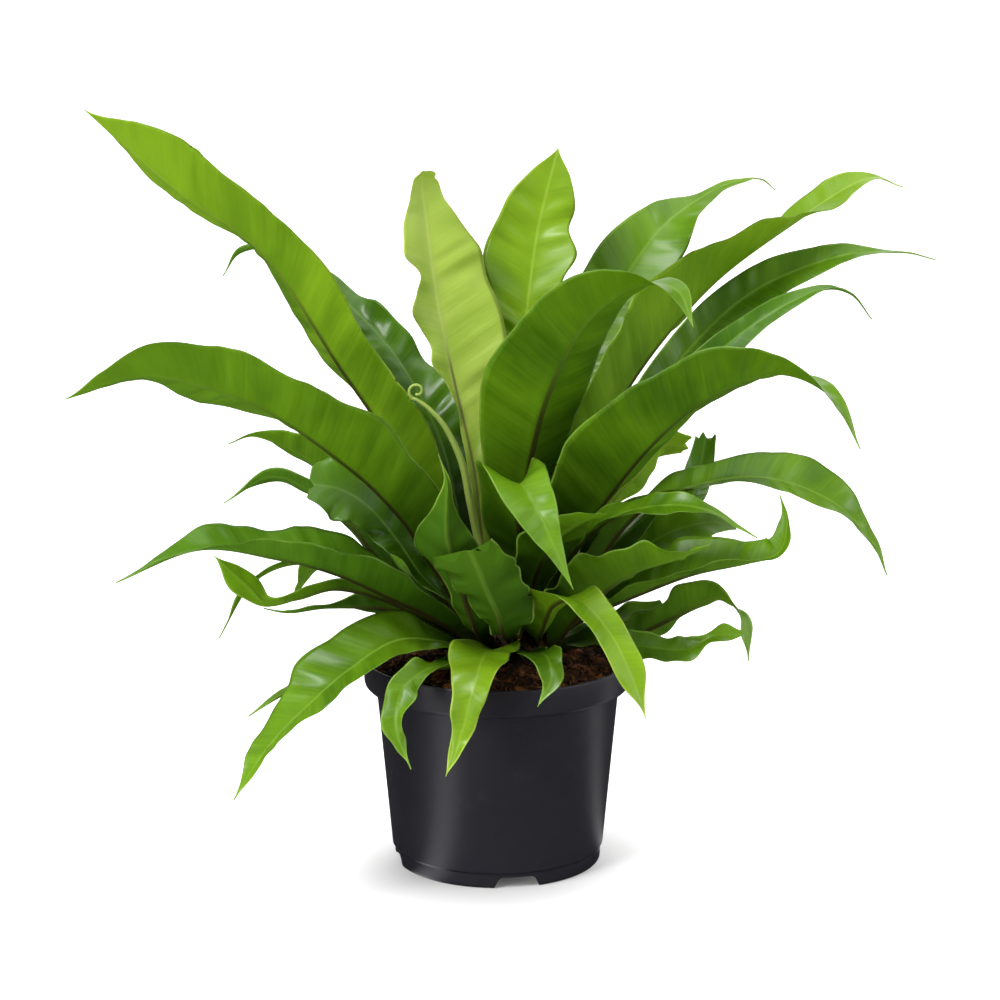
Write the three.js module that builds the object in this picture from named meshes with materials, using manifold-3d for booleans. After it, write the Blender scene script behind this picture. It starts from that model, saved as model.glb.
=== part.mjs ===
// A crisp-edged bird's-nest fern growing in a round plastic plant pot.
// The pot holds a plug of potting mix, the mix holds the scaly crown, and every frond grows out
// of the crown. Millimetres, +Z up; the origin is the middle of the pot's base on the floor, and
// the front of the plant faces -Y.
import * as THREE from "three";
import Module from "manifold-3d";

const wasm = await Module();
wasm.setup();

// ---- the pot ----
const RIM_RADIUS = 85; // outside of the rim band, a 17 cm pot
const POT_HEIGHT = 132.5;
const RIM_BAND = 18.3; // height of the rim band
const WALL = 1.5; // moulded wall thickness
const WALL_TOP_RADIUS = 77.1; // outside of the wall where it meets the rim's ledge
const WALL_BOTTOM_RADIUS = 67.4; // outside of the wall just above the foot
const FOOT_RADIUS = 66; // outside of the foot ring
const FOOT_HEIGHT = 9.5; // height of the crease between foot and wall
const FOOT_FLAT = 3; // width of the flat ring the pot stands on
const FLOOR_RISE = 8; // the floor's underside above the ground
const HUB_RADIUS = 9; // moulding boss under the middle of the floor
const HUB_WALL = 2.5;
const NOTCHES = 4; // drainage notches through the foot
const NOTCH_TURN = -79.2; // direction of the front notch, in degrees
const NOTCH_WIDTH = [29, 22]; // at the ground and at its top
const NOTCH_HEIGHT = 7.2;
const DRAIN_HOLES = 8; // round holes through the floor
const DRAIN_RADIUS = 4.5;
const DRAIN_CIRCLE = 47; // radius of the circle they lie on

// ---- the potting mix and the crown ----
const GAP = 0.3; // clearance between pieces that rest on each other
const SOIL_EDGE = 126; // height of the mix where it meets the pot
const SOIL_MOUND = 8; // how much higher it lies around the crown
const SOIL_LUMP = 1.1; // size of its crumbs' bumps
const CROWN = { x: 8, y: 0, z: 134, radius: 30, foot: 112, foot_radius: 20 };
const ROOT_DEPTH = 3; // how far under the crown's surface a frond starts

// ---- the fronds ----
// tilt and root place the frond's foot on the crown: degrees from the vertical, and the turn
// around it, with 0 towards +X and 90 to the back. face is the direction the blade spreads
// across. halves gives how wide the blade is right and left of the midrib, looking out from the
// foot; one list stands for both. It and roll and cup, in degrees, and rib, the points of the
// midrib, run from foot to tip. wave is the ruffle of the edges: height, count along the frond,
// start, and how far the left edge runs behind the right one.
const FRONDS = [
  { name: "far_left_tall", tilt: 28, root: 172, face: 165,
    halves: [
      [4, 10, 14, 12, 10, 26, 34, 22, 18, 20, 17, 0],
      [5, 12, 24, 30, 32, 30, 31, 33, 35, 38, 30, 0],
    ],
    roll: [0, 30, 50, 52, 48, 45, 35], cup: [38, 30, 24, 20, 16, 14, 8], wave: [2, 3.2, 0.1, 0.4],
    rib: [[-38, 6, 206], [-67, 14, 267], [-100, 26, 315], [-147, 44, 382], [-203, 60, 421],
      [-262, 76, 470]] },
  { name: "left_back_glossy", tilt: 28, root: 128, face: 140,
    halves: [[4, 12, 16, 19, 18, 13, 10, 7, 0], [4, 14, 20, 24, 24, 18, 12, 7, 0]],
    roll: [0, -10, -20, -25, -30, -20, 0], cup: [38, 24, 15, 15, 10], wave: [5, 5, 0.2, 0.45],
    rib: [[-21, 24, 202], [-37, 48, 262], [-67, 80, 312], [-110, 112, 351], [-147, 132, 370],
      [-170, 142, 373], [-184, 146, 355]] },
  { name: "left_arching", tilt: 42, root: 196, face: 195,
    halves: [[4, 5, 6, 6, 8, 18, 24, 18, 0], [6, 20, 34, 39, 40, 37, 33, 28, 0]],
    roll: [8, 22, 30, 34, 38, 36, 30], cup: [38, 30, 24, 18, 12, 12, 8], wave: [2.8, 3.4, 0.3, 0.4],
    rib: [[-41, -14, 196], [-59, -22, 226], [-91, -34, 261], [-146, -54, 303], [-207, -68, 323],
      [-256, -78, 311]] },
  { name: "left_short_curled", tilt: 45, root: 180, face: 180,
    halves: [[3, 7, 14, 14, 9, 0], [3, 7, 24, 28, 15, 0]],
    roll: [10, 30, 45, 50, 40, 10], cup: [38, 30, 26, 20, 12], wave: [1.5, 3, 0.3, 0.4],
    rib: [[-43, 14, 184], [-71, 17, 216], [-102, 18, 241], [-126, 18, 259], [-152, 14, 271],
      [-169, 10, 267]] },
  { name: "left_glossy_droop", tilt: 50, root: 190, face: 186,
    halves: [[2, 2, 5, 12, 20, 26, 28, 26, 15], [2, 2, 5, 10, 14, 14, 18, 21, 12]],
    roll: [0, -10, -30, -50, -58, -58, -50], cup: [38, 24, 14, 8, 6], wave: [3, 3.4, 0.3, 0.4],
    rib: [[-45, -16, 185], [-62, -10, 208], [-80, -9, 230], [-98, -12, 242], [-116, -14, 246]] },
  { name: "left_small_dark", tilt: 45, root: 152, face: 170,
    halves: [[3, 7, 9, 9, 6, 0], [3, 8, 11, 12, 7, 0]],
    roll: [0, 30, 50, 55, 50, 30], cup: [34, 26, 20, 16, 10], wave: [1.2, 3, 0.3, 0.4],
    rib: [[-62, 26, 174], [-94, 32, 210], [-121, 37, 231], [-146, 40, 239], [-176, 42, 222]] },
  { name: "left_long_low", tilt: 70, root: 222, face: 200,
    halves: [[4, 16, 31, 33, 24, 12, 0], [4, 13, 25, 27, 15, 5, 0]],
    roll: [5, 4, 0, 4, 4, -5, 0], cup: [40, 42, 40, 36, 34, 26, 10], wave: [2, 3.6, 0.55, 0.4],
    rib: [[-37, -37, 166], [-66, -53, 184], [-97, -67, 202], [-132, -82, 215], [-177, -98, 224],
      [-225, -112, 207]] },
  { name: "left_twisted", tilt: 62, root: 183, face: 190,
    halves: [[3, 6, 7, 7, 9, 10, 4, 9, 0]],
    roll: [10, 10, 15, 20, 40, 100, 120], cup: [34, 26, 20, 16, 10], wave: [1.2, 3, 0.3, 0.4],
    rib: [[-42, -18, 160], [-71, -26, 176], [-100, -36, 185], [-123, -42, 180], [-142, -45, 178],
      [-154, -48, 190], [-173, -52, 209]] },
  { name: "left_thin", tilt: 62, root: 158, face: 175,
    halves: [[3, 6, 9, 11, 6, 4, 0]],
    roll: [0, 10, 20, 30, 10, 0], cup: [34, 26, 20, 16, 10], wave: [1, 3, 0.3, 0.4],
    rib: [[-62, 22, 163], [-94, 26, 178], [-128, 28, 186], [-158, 30, 172], [-180, 32, 135]] },
  { name: "left_thin_grey", tilt: 80, root: 168, face: 185,
    halves: [[3, 8, 11, 13, 6, 3, 0]],
    roll: [10, 35, 50, 40, 20, 0], cup: [34, 26, 20, 16, 10], wave: [1, 3, 0.3, 0.4],
    rib: [[-43, 0, 151], [-71, -2, 163], [-106, -4, 165], [-131, -6, 162], [-147, -8, 165]] },
  { name: "front_left_droop", tilt: 80, root: 214, face: -150,
    halves: [[4, 9, 22, 27, 24, 14, 0], [4, 12, 19, 20, 18, 11, 0]],
    roll: [0, -15, -25, -15, -5, 0, 0], cup: [30, 18, 18, 12, 6], wave: [1.8, 3, 0.5, 0.4],
    rib: [[-36, -48, 154], [-62, -66, 159], [-88, -84, 147], [-111, -98, 130], [-136, -112, 107],
      [-157, -124, 77]] },
  { name: "front_left_behind", tilt: 80, root: 190, face: -165,
    halves: [[3, 9, 12, 11, 8, 0]],
    roll: [0, 10, 10, 0, 0], cup: [34, 26, 20, 16, 10], wave: [1, 3, 0.3, 0.4],
    rib: [[-48, -22, 146], [-78, -36, 144], [-108, -50, 133], [-132, -62, 124], [-152, -74, 114]] },
  { name: "over_rim_left", tilt: 80, root: 236, face: -115,
    halves: [[4, 8, 10, 7, 10, 6, 0], [3, 7, 8, 5, 9, 4, 0]],
    roll: [0, 0, -15, -25, -10, 0], cup: [34, 20, 16, 12, 6], wave: [3, 3.2, 0.5, 0.4],
    rib: [[-25, -62, 143], [-43, -84, 146], [-57, -98, 137], [-61, -104, 117], [-52, -106, 90]] },
  { name: "over_rim_front", tilt: 80, root: 262, face: -95,
    halves: [
      [6, 14, 20, 20, 21, 19, 20, 15, 10, 8, 6, 3, 0],
      [5, 12, 18, 17, 19, 18, 16, 11, 10, 7, 5, 3, 0],
    ],
    roll: [0, 0, 0, 5, 10, 0, 0], cup: [34, 16, 12, 8, 4], wave: [3, 2.8, 0.3, 0.4],
    rib: [[-3, -50, 149], [-8, -78, 153], [-14, -100, 141], [-21, -107, 115], [-31, -110, 87]] },
  { name: "over_rim_small", tilt: 80, root: 288, face: -70,
    halves: [[5, 11, 12, 8, 0], [5, 10, 10, 8, 0]],
    roll: [0, 0, 5, 20, 20], cup: [34, 16, 12, 8, 4], wave: [2, 2.6, 0.3, 0.5],
    rib: [[21, -56, 149], [30, -82, 153], [32, -96, 143], [24, -102, 128]] },
  { name: "front_right_droop", tilt: 62, root: -46, face: -55,
    halves: [[6, 15, 22, 16, 11, 10, 0], [6, 10, 16, 13, 11, 9, 0]],
    roll: [0, -8, -12, -5, 20, 10, 0], cup: [44, 30, 20, 14, 6], wave: [2.2, 3, 0.2, 0.4],
    rib: [[27, -48, 160], [34, -74, 184], [48, -99, 193], [65, -114, 179], [78, -121, 155],
      [88, -125, 127]] },
  { name: "front_curl_over", tilt: 45, root: -80, face: -80,
    halves: [[4, 14, 22, 31, 23, 11, 0], [4, 12, 20, 28, 17, 8, 0]],
    roll: [0, 0, 0, 8, 8, 0, 0], cup: [34, 26, 32, 56, 28, 10, 8], wave: [2.5, 3.4, 0.2, 0.4],
    rib: [[17, -30, 176], [15, -46, 208], [12, -66, 238], [13, -92, 262], [22, -118, 254],
      [33, -132, 233], [44, -138, 209]] },
  { name: "upright_pale", tilt: 12, root: 140, face: 115, young: true,
    halves: [
      [4, 6, 7, 7, 8, 9, 9, 9, 10, 11, 12, 15, 19, 27, 34, 38, 39, 38, 37, 35, 31, 25, 19, 13, 11, 7],
      [4, 6, 6, 6, 6, 6, 6, 5, 5, 4, 4, 4, 6, 9, 16, 12, 16, 21, 16, 12, 23, 20, 17, 12, 8, 5],
    ],
    roll: [0, 0, 0, 0, 0], cup: [42, 30, 20, 16, 20], wave: [3, 3.6, 0.1, 0.4],
    rib: [[-8, 10, 192], [-15, 24, 247], [-28, 40, 303], [-38, 50, 349], [-45, 57, 399],
      [-48, 55, 427], [-45, 48, 434]] },
  { name: "upright_glossy", tilt: 12, root: 62, face: 88,
    halves: [
      [4, 5, 6, 8, 9, 10, 12, 13, 13, 15, 17, 19, 19, 22, 29, 20, 20, 13, 0],
      [4, 5, 6, 8, 9, 10, 11, 12, 12, 13, 15, 19, 24, 32, 31, 27, 22, 12, 0],
    ],
    roll: [0, 0, 0, 0, 0], cup: [42, 28, 16, 12, 8], wave: [3, 4.2, 0.1, 0.4],
    rib: [[7, 24, 215], [11, 48, 275], [18, 70, 336], [25, 84, 388], [32, 90, 418], [39, 92, 445]] },
  { name: "centre_big", tilt: 12, root: -50, face: -62,
    halves: [[5, 15, 29, 40, 38, 23, 0], [5, 15, 25, 29, 27, 18, 0]],
    roll: [0, -4, -8, -8, -5, 0, 0], cup: [38, 26, 18, 14, 14, 10], wave: [2, 2.6, 0.1, 0.4],
    rib: [[13, -14, 211], [20, -26, 263], [31, -40, 308], [52, -58, 353], [81, -72, 377],
      [105, -82, 376], [115, -88, 355]] },
  { name: "right_long_up", tilt: 28, root: 44, face: 25,
    halves: [[4, 14, 33, 44, 40, 18, 0], [4, 8, 12, 14, 18, 18, 0]],
    roll: [0, -25, -44, -46, -32, 5, 20], cup: [38, 28, 22, 16, 12, 8], wave: [3, 4.2, 0.1, 0.4],
    rib: [[39, 18, 235], [70, 32, 281], [102, 50, 324], [141, 72, 363], [192, 98, 396],
      [240, 118, 422], [267, 130, 416]] },
  { name: "right_back_up", tilt: 40, root: 64, face: 45,
    halves: [[4, 8, 13, 18, 22, 26, 27, 24, 7, 0], [4, 9, 15, 20, 24, 26, 25, 18, 3, 0]],
    roll: [0, 15, 30, 40, 40, 10, -10], cup: [38, 24, 18, 14, 8], wave: [2.5, 4, 0.1, 0.4],
    rib: [[24, 47, 234], [47, 84, 291], [76, 114, 345], [108, 138, 387], [142, 154, 410],
      [163, 160, 417], [176, 164, 418], [187, 168, 410]] },
  { name: "right_slim_upper", tilt: 52, root: 48, face: 18,
    halves: [[3, 8, 12, 16, 20, 17, 13, 7, 0], [3, 7, 10, 13, 15, 16, 13, 7, 0]],
    roll: [0, 20, 50, 70, 60, 30, 0], cup: [38, 28, 22, 16, 8], wave: [1.5, 3.4, 0.1, 0.4],
    rib: [[56, 36, 230], [92, 62, 277], [128, 80, 320], [167, 88, 353], [219, 92, 374],
      [261, 96, 377], [285, 98, 372]] },
  { name: "right_slim_lower", tilt: 48, root: 18, face: 10,
    halves: [[3, 7, 11, 14, 14, 11, 8, 5, 0]],
    roll: [0, 15, 40, 60, 60, 20, 0], cup: [38, 28, 22, 16, 8], wave: [1.5, 3.4, 0.1, 0.4],
    rib: [[56, 15, 212], [90, 18, 268], [128, 22, 312], [163, 32, 340], [201, 40, 359],
      [223, 45, 357], [238, 48, 340]] },
  { name: "right_inner_low", tilt: 44, root: 6, face: 5,
    halves: [[2, 2, 8, 12, 11, 4], [2, 3, 12, 17, 13, 4]],
    roll: [0, 15, 35, 45, 45], cup: [38, 24, 16, 12, 8], wave: [1.2, 2.6, 0.2, 0.4],
    rib: [[51, 6, 173], [66, 12, 193], [84, 18, 209], [101, 22, 223]] },
  { name: "right_big", tilt: 28, root: -25, face: -15,
    halves: [[4, 26, 42, 45, 36, 24, 0], [3, 16, 24, 24, 18, 16, 0]],
    roll: [0, -22, -32, -32, -32, -10, 10], cup: [38, 32, 26, 20, 16, 12, 8], wave: [2, 3, 0.1, 0.4],
    rib: [[39, -10, 193], [68, -24, 240], [97, -38, 279], [128, -50, 307], [166, -64, 324],
      [198, -74, 312], [216, -80, 281]] },
  { name: "right_arching", tilt: 50, root: -8, face: 5,
    halves: [[4, 13, 18, 12, 12, 12, 0], [4, 11, 14, 16, 22, 20, 0]],
    roll: [0, -15, -20, 20, 32, 28, 20], cup: [38, 28, 18, 12, 8], wave: [2, 3.4, 0.4, 0.4],
    rib: [[58, -2, 189], [89, 2, 226], [127, 8, 241], [169, 14, 244], [211, 20, 228],
      [238, 26, 201], [250, 30, 177]] },
  { name: "right_thin_front", tilt: 45, root: -30, face: -25,
    halves: [[3, 11, 14, 12, 7, 0]],
    roll: [0, 0, 12, 22, 25, 10], cup: [38, 22, 16, 12, 6], wave: [2, 3.4, 0.4, 0.4],
    rib: [[39, -26, 194], [63, -40, 226], [93, -54, 240], [125, -66, 241], [156, -76, 226]] },
  { name: "right_broad_hidden", tilt: 62, root: 18, face: 0,
    halves: [[3, 4, 6, 11, 22, 24, 18, 4], [3, 4, 6, 10, 18, 22, 16, 4]],
    roll: [0, 10, 25, 40, 40, 20], cup: [38, 22, 16, 12, 6], wave: [1.6, 3.4, 0.4, 0.4],
    rib: [[65, 12, 172], [88, 18, 194], [110, 22, 207], [134, 24, 213], [152, 24, 210]] },
  { name: "front_right_trough", tilt: 80, root: -28, face: -25,
    halves: [[3, 13, 28, 31, 27, 20, 6], [3, 8, 15, 18, 15, 10, 4]],
    roll: [0, -15, -22, -25, -20, 0], cup: [38, 32, 26, 20, 12], wave: [3, 3.8, 0.2, 0.4],
    rib: [[47, -34, 164], [65, -53, 187], [84, -69, 204], [106, -82, 214], [126, -90, 224]] },
  { name: "right_upcurled", tilt: 62, root: -14, face: -10,
    halves: [[3, 6, 11, 14, 15, 13, 11, 6, 0], [3, 7, 14, 22, 26, 22, 16, 8, 0]],
    roll: [0, 5, 8, 8, 10, 30, 40], cup: [38, 36, 36, 34, 26, 16], wave: [2, 3, 0.2, 0.4],
    rib: [[52, -16, 161], [82, -26, 177], [119, -36, 194], [152, -44, 203], [172, -48, 210],
      [177, -46, 229], [172, -42, 245]] },
  { name: "right_low_waisted", tilt: 80, root: 6, face: -10,
    halves: [[3, 6, 9, 11, 12, 12, 15, 22, 14, 3, 5, 6, 0], [3, 7, 9, 10, 13, 17, 9, 8, 6, 4, 5, 5, 0]],
    roll: [0, -25, -45, -52, -42, 5, 20], cup: [34, 24, 18, 12, 6], wave: [2.5, 3, 0.2, 0.4],
    rib: [[59, 6, 142], [88, 6, 145], [114, 4, 157], [139, 0, 170], [154, -4, 159], [159, -6, 130]] },
  { name: "right_lowest", tilt: 80, root: -14, face: -8,
    halves: [[3, 8, 11, 12, 12, 12, 12, 12, 10, 4, 8, 2], [3, 6, 9, 10, 10, 9, 9, 10, 8, 3, 9, 3]],
    roll: [0, 20, 40, 40, 40, 35], cup: [34, 22, 16, 12, 6], wave: [2.5, 3.4, 0.2, 0.4],
    rib: [[62, -22, 148], [89, -30, 146], [116, -34, 145], [134, -36, 154], [151, -38, 156]] },
  { name: "right_round_behind", tilt: 80, root: 28, face: 20,
    halves: [[3, 5, 9, 12, 12, 5], [3, 5, 8, 10, 10, 4]],
    roll: [0, 10, 25, 30, 30], cup: [34, 16, 12, 8, 4], wave: [2, 2, 0.2, 0.4],
    rib: [[61, 28, 140], [80, 38, 145], [96, 44, 149], [107, 46, 154]] },
  { name: "right_dark_lobed", tilt: 62, root: 45, face: 70,
    halves: [[3, 4, 5, 6, 7, 8, 9, 9, 7], [3, 4, 5, 6, 8, 9, 10, 10, 7]],
    roll: [0, 0, 0, 10, 20], cup: [34, 26, 24, 20, 10], wave: [3, 3, 0.2, 0.4],
    rib: [[60, 42, 184], [96, 68, 200], [126, 84, 215], [133, 92, 234], [137, 96, 255]] },
  { name: "right_light_lobed", tilt: 62, root: 64, face: 15,
    halves: [[3, 4, 6, 8, 7, 9, 14, 12, 12, 8], [3, 4, 7, 9, 10, 11, 13, 15, 15, 7]],
    roll: [0, -20, -55, -65, -65], cup: [34, 26, 18, 12, 6], wave: [3, 3, 0.2, 0.4],
    rib: [[54, 58, 193], [75, 76, 216], [94, 92, 234], [108, 104, 247], [125, 112, 246]] },
  { name: "front_left_collar", tilt: 60, root: 236, face: -100,
    halves: [[3, 6, 10, 12, 10, 17, 27, 13, 3, 0], [3, 6, 12, 17, 19, 20, 17, 9, 3, 0]],
    roll: [0, 0, 0, 5, 10, 15, 20], cup: [44, 30, 24, 30, 40, 30], wave: [1.5, 3.4, 0.2, 0.4],
    rib: [[-13, -54, 162], [-20, -70, 187], [-26, -82, 210], [-30, -88, 230], [-30, -89, 249],
      [-30, -87, 263], [-35, -83, 278]] },
  { name: "front_centre_low", tilt: 60, root: 272, face: -96,
    halves: [[3, 4, 6, 9, 11, 15, 20, 23, 29, 27], [3, 4, 7, 14, 20, 22, 23, 23, 21, 15]],
    roll: [0, 0, 0, 0, 0], cup: [44, 30, 24, 22, 26, 20], wave: [3, 4.6, 0.2, 0.4],
    rib: [[3, -66, 164], [0, -82, 180], [-6, -92, 196], [-11, -97, 210], [-16, -99, 222]] },
  { name: "front_right_wavy", tilt: 58, root: -80, face: -62,
    halves: [[3, 11, 16, 20, 16, 6], [3, 9, 17, 22, 14, 5]],
    roll: [0, -5, -10, -5, 0], cup: [44, 26, 16, 14, 10], wave: [2.5, 3.4, 0.2, 0.4],
    rib: [[19, -34, 174], [25, -48, 200], [36, -63, 222], [50, -78, 236], [65, -92, 244]] },
  { name: "back_left_arching", tilt: 62, root: 118, face: 118,
    halves: [[3, 16, 26, 28, 22, 0]],
    roll: [0, 0, 0, 0, 0], cup: [38, 28, 20, 14, 6], wave: [2.5, 3.6, 0.2, 0.4],
    rib: [[-30, 70, 205], [-62, 125, 245], [-90, 175, 255], [-112, 215, 235]] },
  { name: "back_right_arching", tilt: 62, root: 92, face: 80,
    halves: [[3, 16, 26, 29, 22, 0]],
    roll: [0, 0, 0, 0, 0], cup: [38, 28, 20, 14, 6], wave: [2.5, 3.6, 0.5, 0.4],
    rib: [[18, 70, 205], [30, 130, 262], [42, 185, 280], [50, 230, 262]] },
  { name: "back_low_left", tilt: 80, root: 135, face: 135,
    halves: [[3, 16, 23, 24, 16, 0]],
    roll: [0, 0, 0, 0, 0], cup: [38, 26, 16, 10, 6], wave: [2.5, 3, 0.7, 0.4],
    rib: [[-50, 62, 160], [-90, 104, 172], [-122, 136, 158], [-142, 158, 130]] },
  { name: "back_low_middle", tilt: 80, root: 98, face: 98,
    halves: [[3, 16, 24, 25, 16, 0]],
    roll: [0, 0, 0, 0, 0], cup: [38, 26, 16, 10, 6], wave: [2.5, 3, 0.1, 0.4],
    rib: [[-2, 75, 165], [-8, 130, 182], [-12, 178, 166], [-14, 206, 134]] },
  { name: "back_low_right", tilt: 80, root: 60, face: 60,
    halves: [[3, 16, 23, 24, 16, 0]],
    roll: [0, 0, 0, 0, 0], cup: [38, 26, 16, 10, 6], wave: [2.5, 3, 0.4, 0.4],
    rib: [[52, 70, 158], [86, 122, 170], [110, 164, 160], [124, 190, 138]] },
];

const ALONG = 16; // rows of a frond's mesh from foot to tip
const TIP = 0.4; // half the width of a frond's very tip
const RIB_THICKNESS = [3.6, 2.4, 2, 1.6, 0.9]; // at the midrib, from foot to tip
const EDGE_THICKNESS = [2.2, 1, 0.9, 0.9, 0.7];
const CROZIER = { tilt: 26, root: 215, radius: 2.8, coil: 5.5, turns: 1.15 };
const CROZIER_STALK = [
  [-12, -1, 206], [-17, -3, 232], [-22, -4, 257], [-32, -4, 279], [-42, -4, 291], [-50, -4, 297],
];

// ---- materials ----
const LEAF_GREEN = 0x4f8f1e;
const YOUNG_GREEN = 0x8fb93a;
const POT_GREY = 0x2d2b30;
const SOIL_BROWN = 0x3a2416;
const CROWN_BROWN = 0x2b1c12;

const radians = THREE.MathUtils.degToRad;
const smooth = (x) => THREE.MathUtils.smoothstep(x, 0, 1);

function node(name, geometry, color, roughness) {
  const material = new THREE.MeshStandardMaterial({ color, roughness, metalness: 0 });
  const mesh = new THREE.Mesh(geometry, material);
  mesh.name = name;
  return mesh;
}

function solid(geometry) {
  const merged = mergeByPlace(geometry);
  return new wasm.Manifold(new wasm.Mesh({ numProp: 3, ...merged }));
}

// Joins vertices that lie in the same place, so that a lathe's seam closes.
function mergeByPlace(geometry) {
  const position = geometry.getAttribute("position");
  const order = geometry.index ? geometry.index.array : Array(position.count).keys();
  const known = new Map();
  const vertices = [];
  const triangles = [];
  for (const i of order) {
    const point = [position.getX(i), position.getY(i), position.getZ(i)];
    const key = point.map((c) => Math.round(c * 1e4)).join();
    if (!known.has(key)) {
      known.set(key, known.size);
      vertices.push(...point);
    }
    triangles.push(known.get(key));
  }
  const whole = [];
  for (let i = 0; i < triangles.length; i += 3) {
    const [a, b, c] = triangles.slice(i, i + 3);
    if (a !== b && b !== c && c !== a) whole.push(a, b, c);
  }
  return { vertProperties: new Float32Array(vertices), triVerts: new Uint32Array(whole) };
}

function geometryOf(body) {
  const mesh = body.getMesh();
  const geometry = new THREE.BufferGeometry();
  geometry.setAttribute("position", new THREE.BufferAttribute(mesh.vertProperties, 3));
  geometry.setIndex(new THREE.BufferAttribute(mesh.triVerts, 1));
  return geometry;
}

function largest(body) {
  return body.decompose().reduce((a, b) => (a.volume() > b.volume() ? a : b));
}

// A solid of revolution about +Z from [radius, height] pairs that start and end on the axis.
function turned(profile, segments) {
  const points = profile.map(([r, z]) => new THREE.Vector2(r, z));
  return new THREE.LatheGeometry(points, segments).rotateX(Math.PI / 2);
}

// A closed solid through rings of points that all run clockwise, seen from the far end. The first
// and the second half of a ring lie opposite each other, and their squares are split alike, so
// that a thin and twisted solid keeps its thickness.
function lofted(rings) {
  const side = rings[0].length;
  const positions = rings.flat().flatMap((p) => [p.x, p.y, p.z]);
  const faces = [];
  for (let r = 0; r + 1 < rings.length; r++) {
    for (let k = 0; k < side; k++) {
      const [a, b] = [r * side + k, r * side + ((k + 1) % side)];
      const [c, d] = [a + side, b + side];
      faces.push(...(k < side / 2 ? [a, c, d, a, d, b] : [a, c, b, c, d, b]));
    }
  }
  const last = (rings.length - 1) * side;
  for (let k = 1; k + 1 < side; k++) {
    faces.push(0, k, k + 1, last, last + k + 1, last + k);
  }
  const geometry = new THREE.BufferGeometry();
  geometry.setAttribute("position", new THREE.Float32BufferAttribute(positions, 3));
  geometry.setIndex(faces);
  return geometry;
}

// ---- the pot ----
function pot() {
  const footInner = FOOT_RADIUS - 0.8 - FOOT_FLAT;
  const ledge = POT_HEIGHT - RIM_BAND;
  const floorTop = FLOOR_RISE + WALL;
  const hubInner = HUB_RADIUS - HUB_WALL;
  const shell = turned([
    [0, 0], [HUB_RADIUS, 0], [HUB_RADIUS, FLOOR_RISE], [footInner + 0.6, FLOOR_RISE],
    [footInner, 0], [FOOT_RADIUS - 1.3, 0], [FOOT_RADIUS - 0.5, 0.6], [FOOT_RADIUS, FOOT_HEIGHT],
    [WALL_BOTTOM_RADIUS, FOOT_HEIGHT + 1.1], [WALL_TOP_RADIUS, ledge - 0.8],
    [RIM_RADIUS - 3.3, ledge], [RIM_RADIUS - 1.1, ledge + 1.2], [RIM_RADIUS - 0.3, ledge + 3.2],
    [RIM_RADIUS, POT_HEIGHT - 1.4], [RIM_RADIUS - 0.9, POT_HEIGHT],
    [RIM_RADIUS - WALL, POT_HEIGHT - 0.6], [RIM_RADIUS - 1.8, ledge + 3.8],
    [RIM_RADIUS - 3.4, ledge + 1.8], [WALL_TOP_RADIUS - WALL, ledge + 0.9],
    [WALL_BOTTOM_RADIUS - WALL, floorTop + 1.5], [WALL_BOTTOM_RADIUS - 2 * WALL, floorTop],
    [hubInner, floorTop], [hubInner, WALL], [0, WALL],
  ], 48);
  return geometryOf(solid(shell).subtract(drainage()));
}

// The four notches through the foot and the ring of holes through the floor.
function drainage() {
  const cuts = [];
  for (let i = 0; i < NOTCHES; i++) {
    const notch = lofted([FOOT_RADIUS - 8, FOOT_RADIUS + 4].map(notchOutline));
    cuts.push(solid(notch.rotateZ(radians(NOTCH_TURN + (i * 360) / NOTCHES))));
  }
  for (let i = 0; i < DRAIN_HOLES; i++) {
    const turn = radians(NOTCH_TURN + ((i + 0.5) * 360) / DRAIN_HOLES);
    const hole = new THREE.CylinderGeometry(DRAIN_RADIUS, DRAIN_RADIUS, 4 * WALL, 16);
    hole.rotateX(Math.PI / 2);
    hole.translate(DRAIN_CIRCLE * Math.cos(turn), DRAIN_CIRCLE * Math.sin(turn), FLOOR_RISE);
    cuts.push(solid(hole));
  }
  return wasm.Manifold.union(cuts);
}

// The notch's four corners at one distance from the pot's axis; it runs on below the ground.
function notchOutline(radius) {
  const slant = (NOTCH_WIDTH[0] - NOTCH_WIDTH[1]) / 2 / NOTCH_HEIGHT;
  const [low, high] = [NOTCH_WIDTH[0] / 2 + slant, NOTCH_WIDTH[1] / 2];
  const corners = [[-low, -1], [-high, NOTCH_HEIGHT], [high, NOTCH_HEIGHT], [low, -1]];
  return corners.map(([y, z]) => new THREE.Vector3(radius, y, z));
}

// ---- the potting mix ----
function soilHeight(x, y) {
  const radius = Math.hypot(x, y);
  const mound = SOIL_MOUND * smooth((RIM_RADIUS - 5 - radius) / 45);
  const lumps = Math.sin(0.31 * x + 1.7 * Math.sin(0.23 * y)) * Math.cos(0.37 * y - 0.9);
  return SOIL_EDGE + mound + SOIL_LUMP * lumps * smooth((RIM_RADIUS - 3 - radius) / 8);
}

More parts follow.
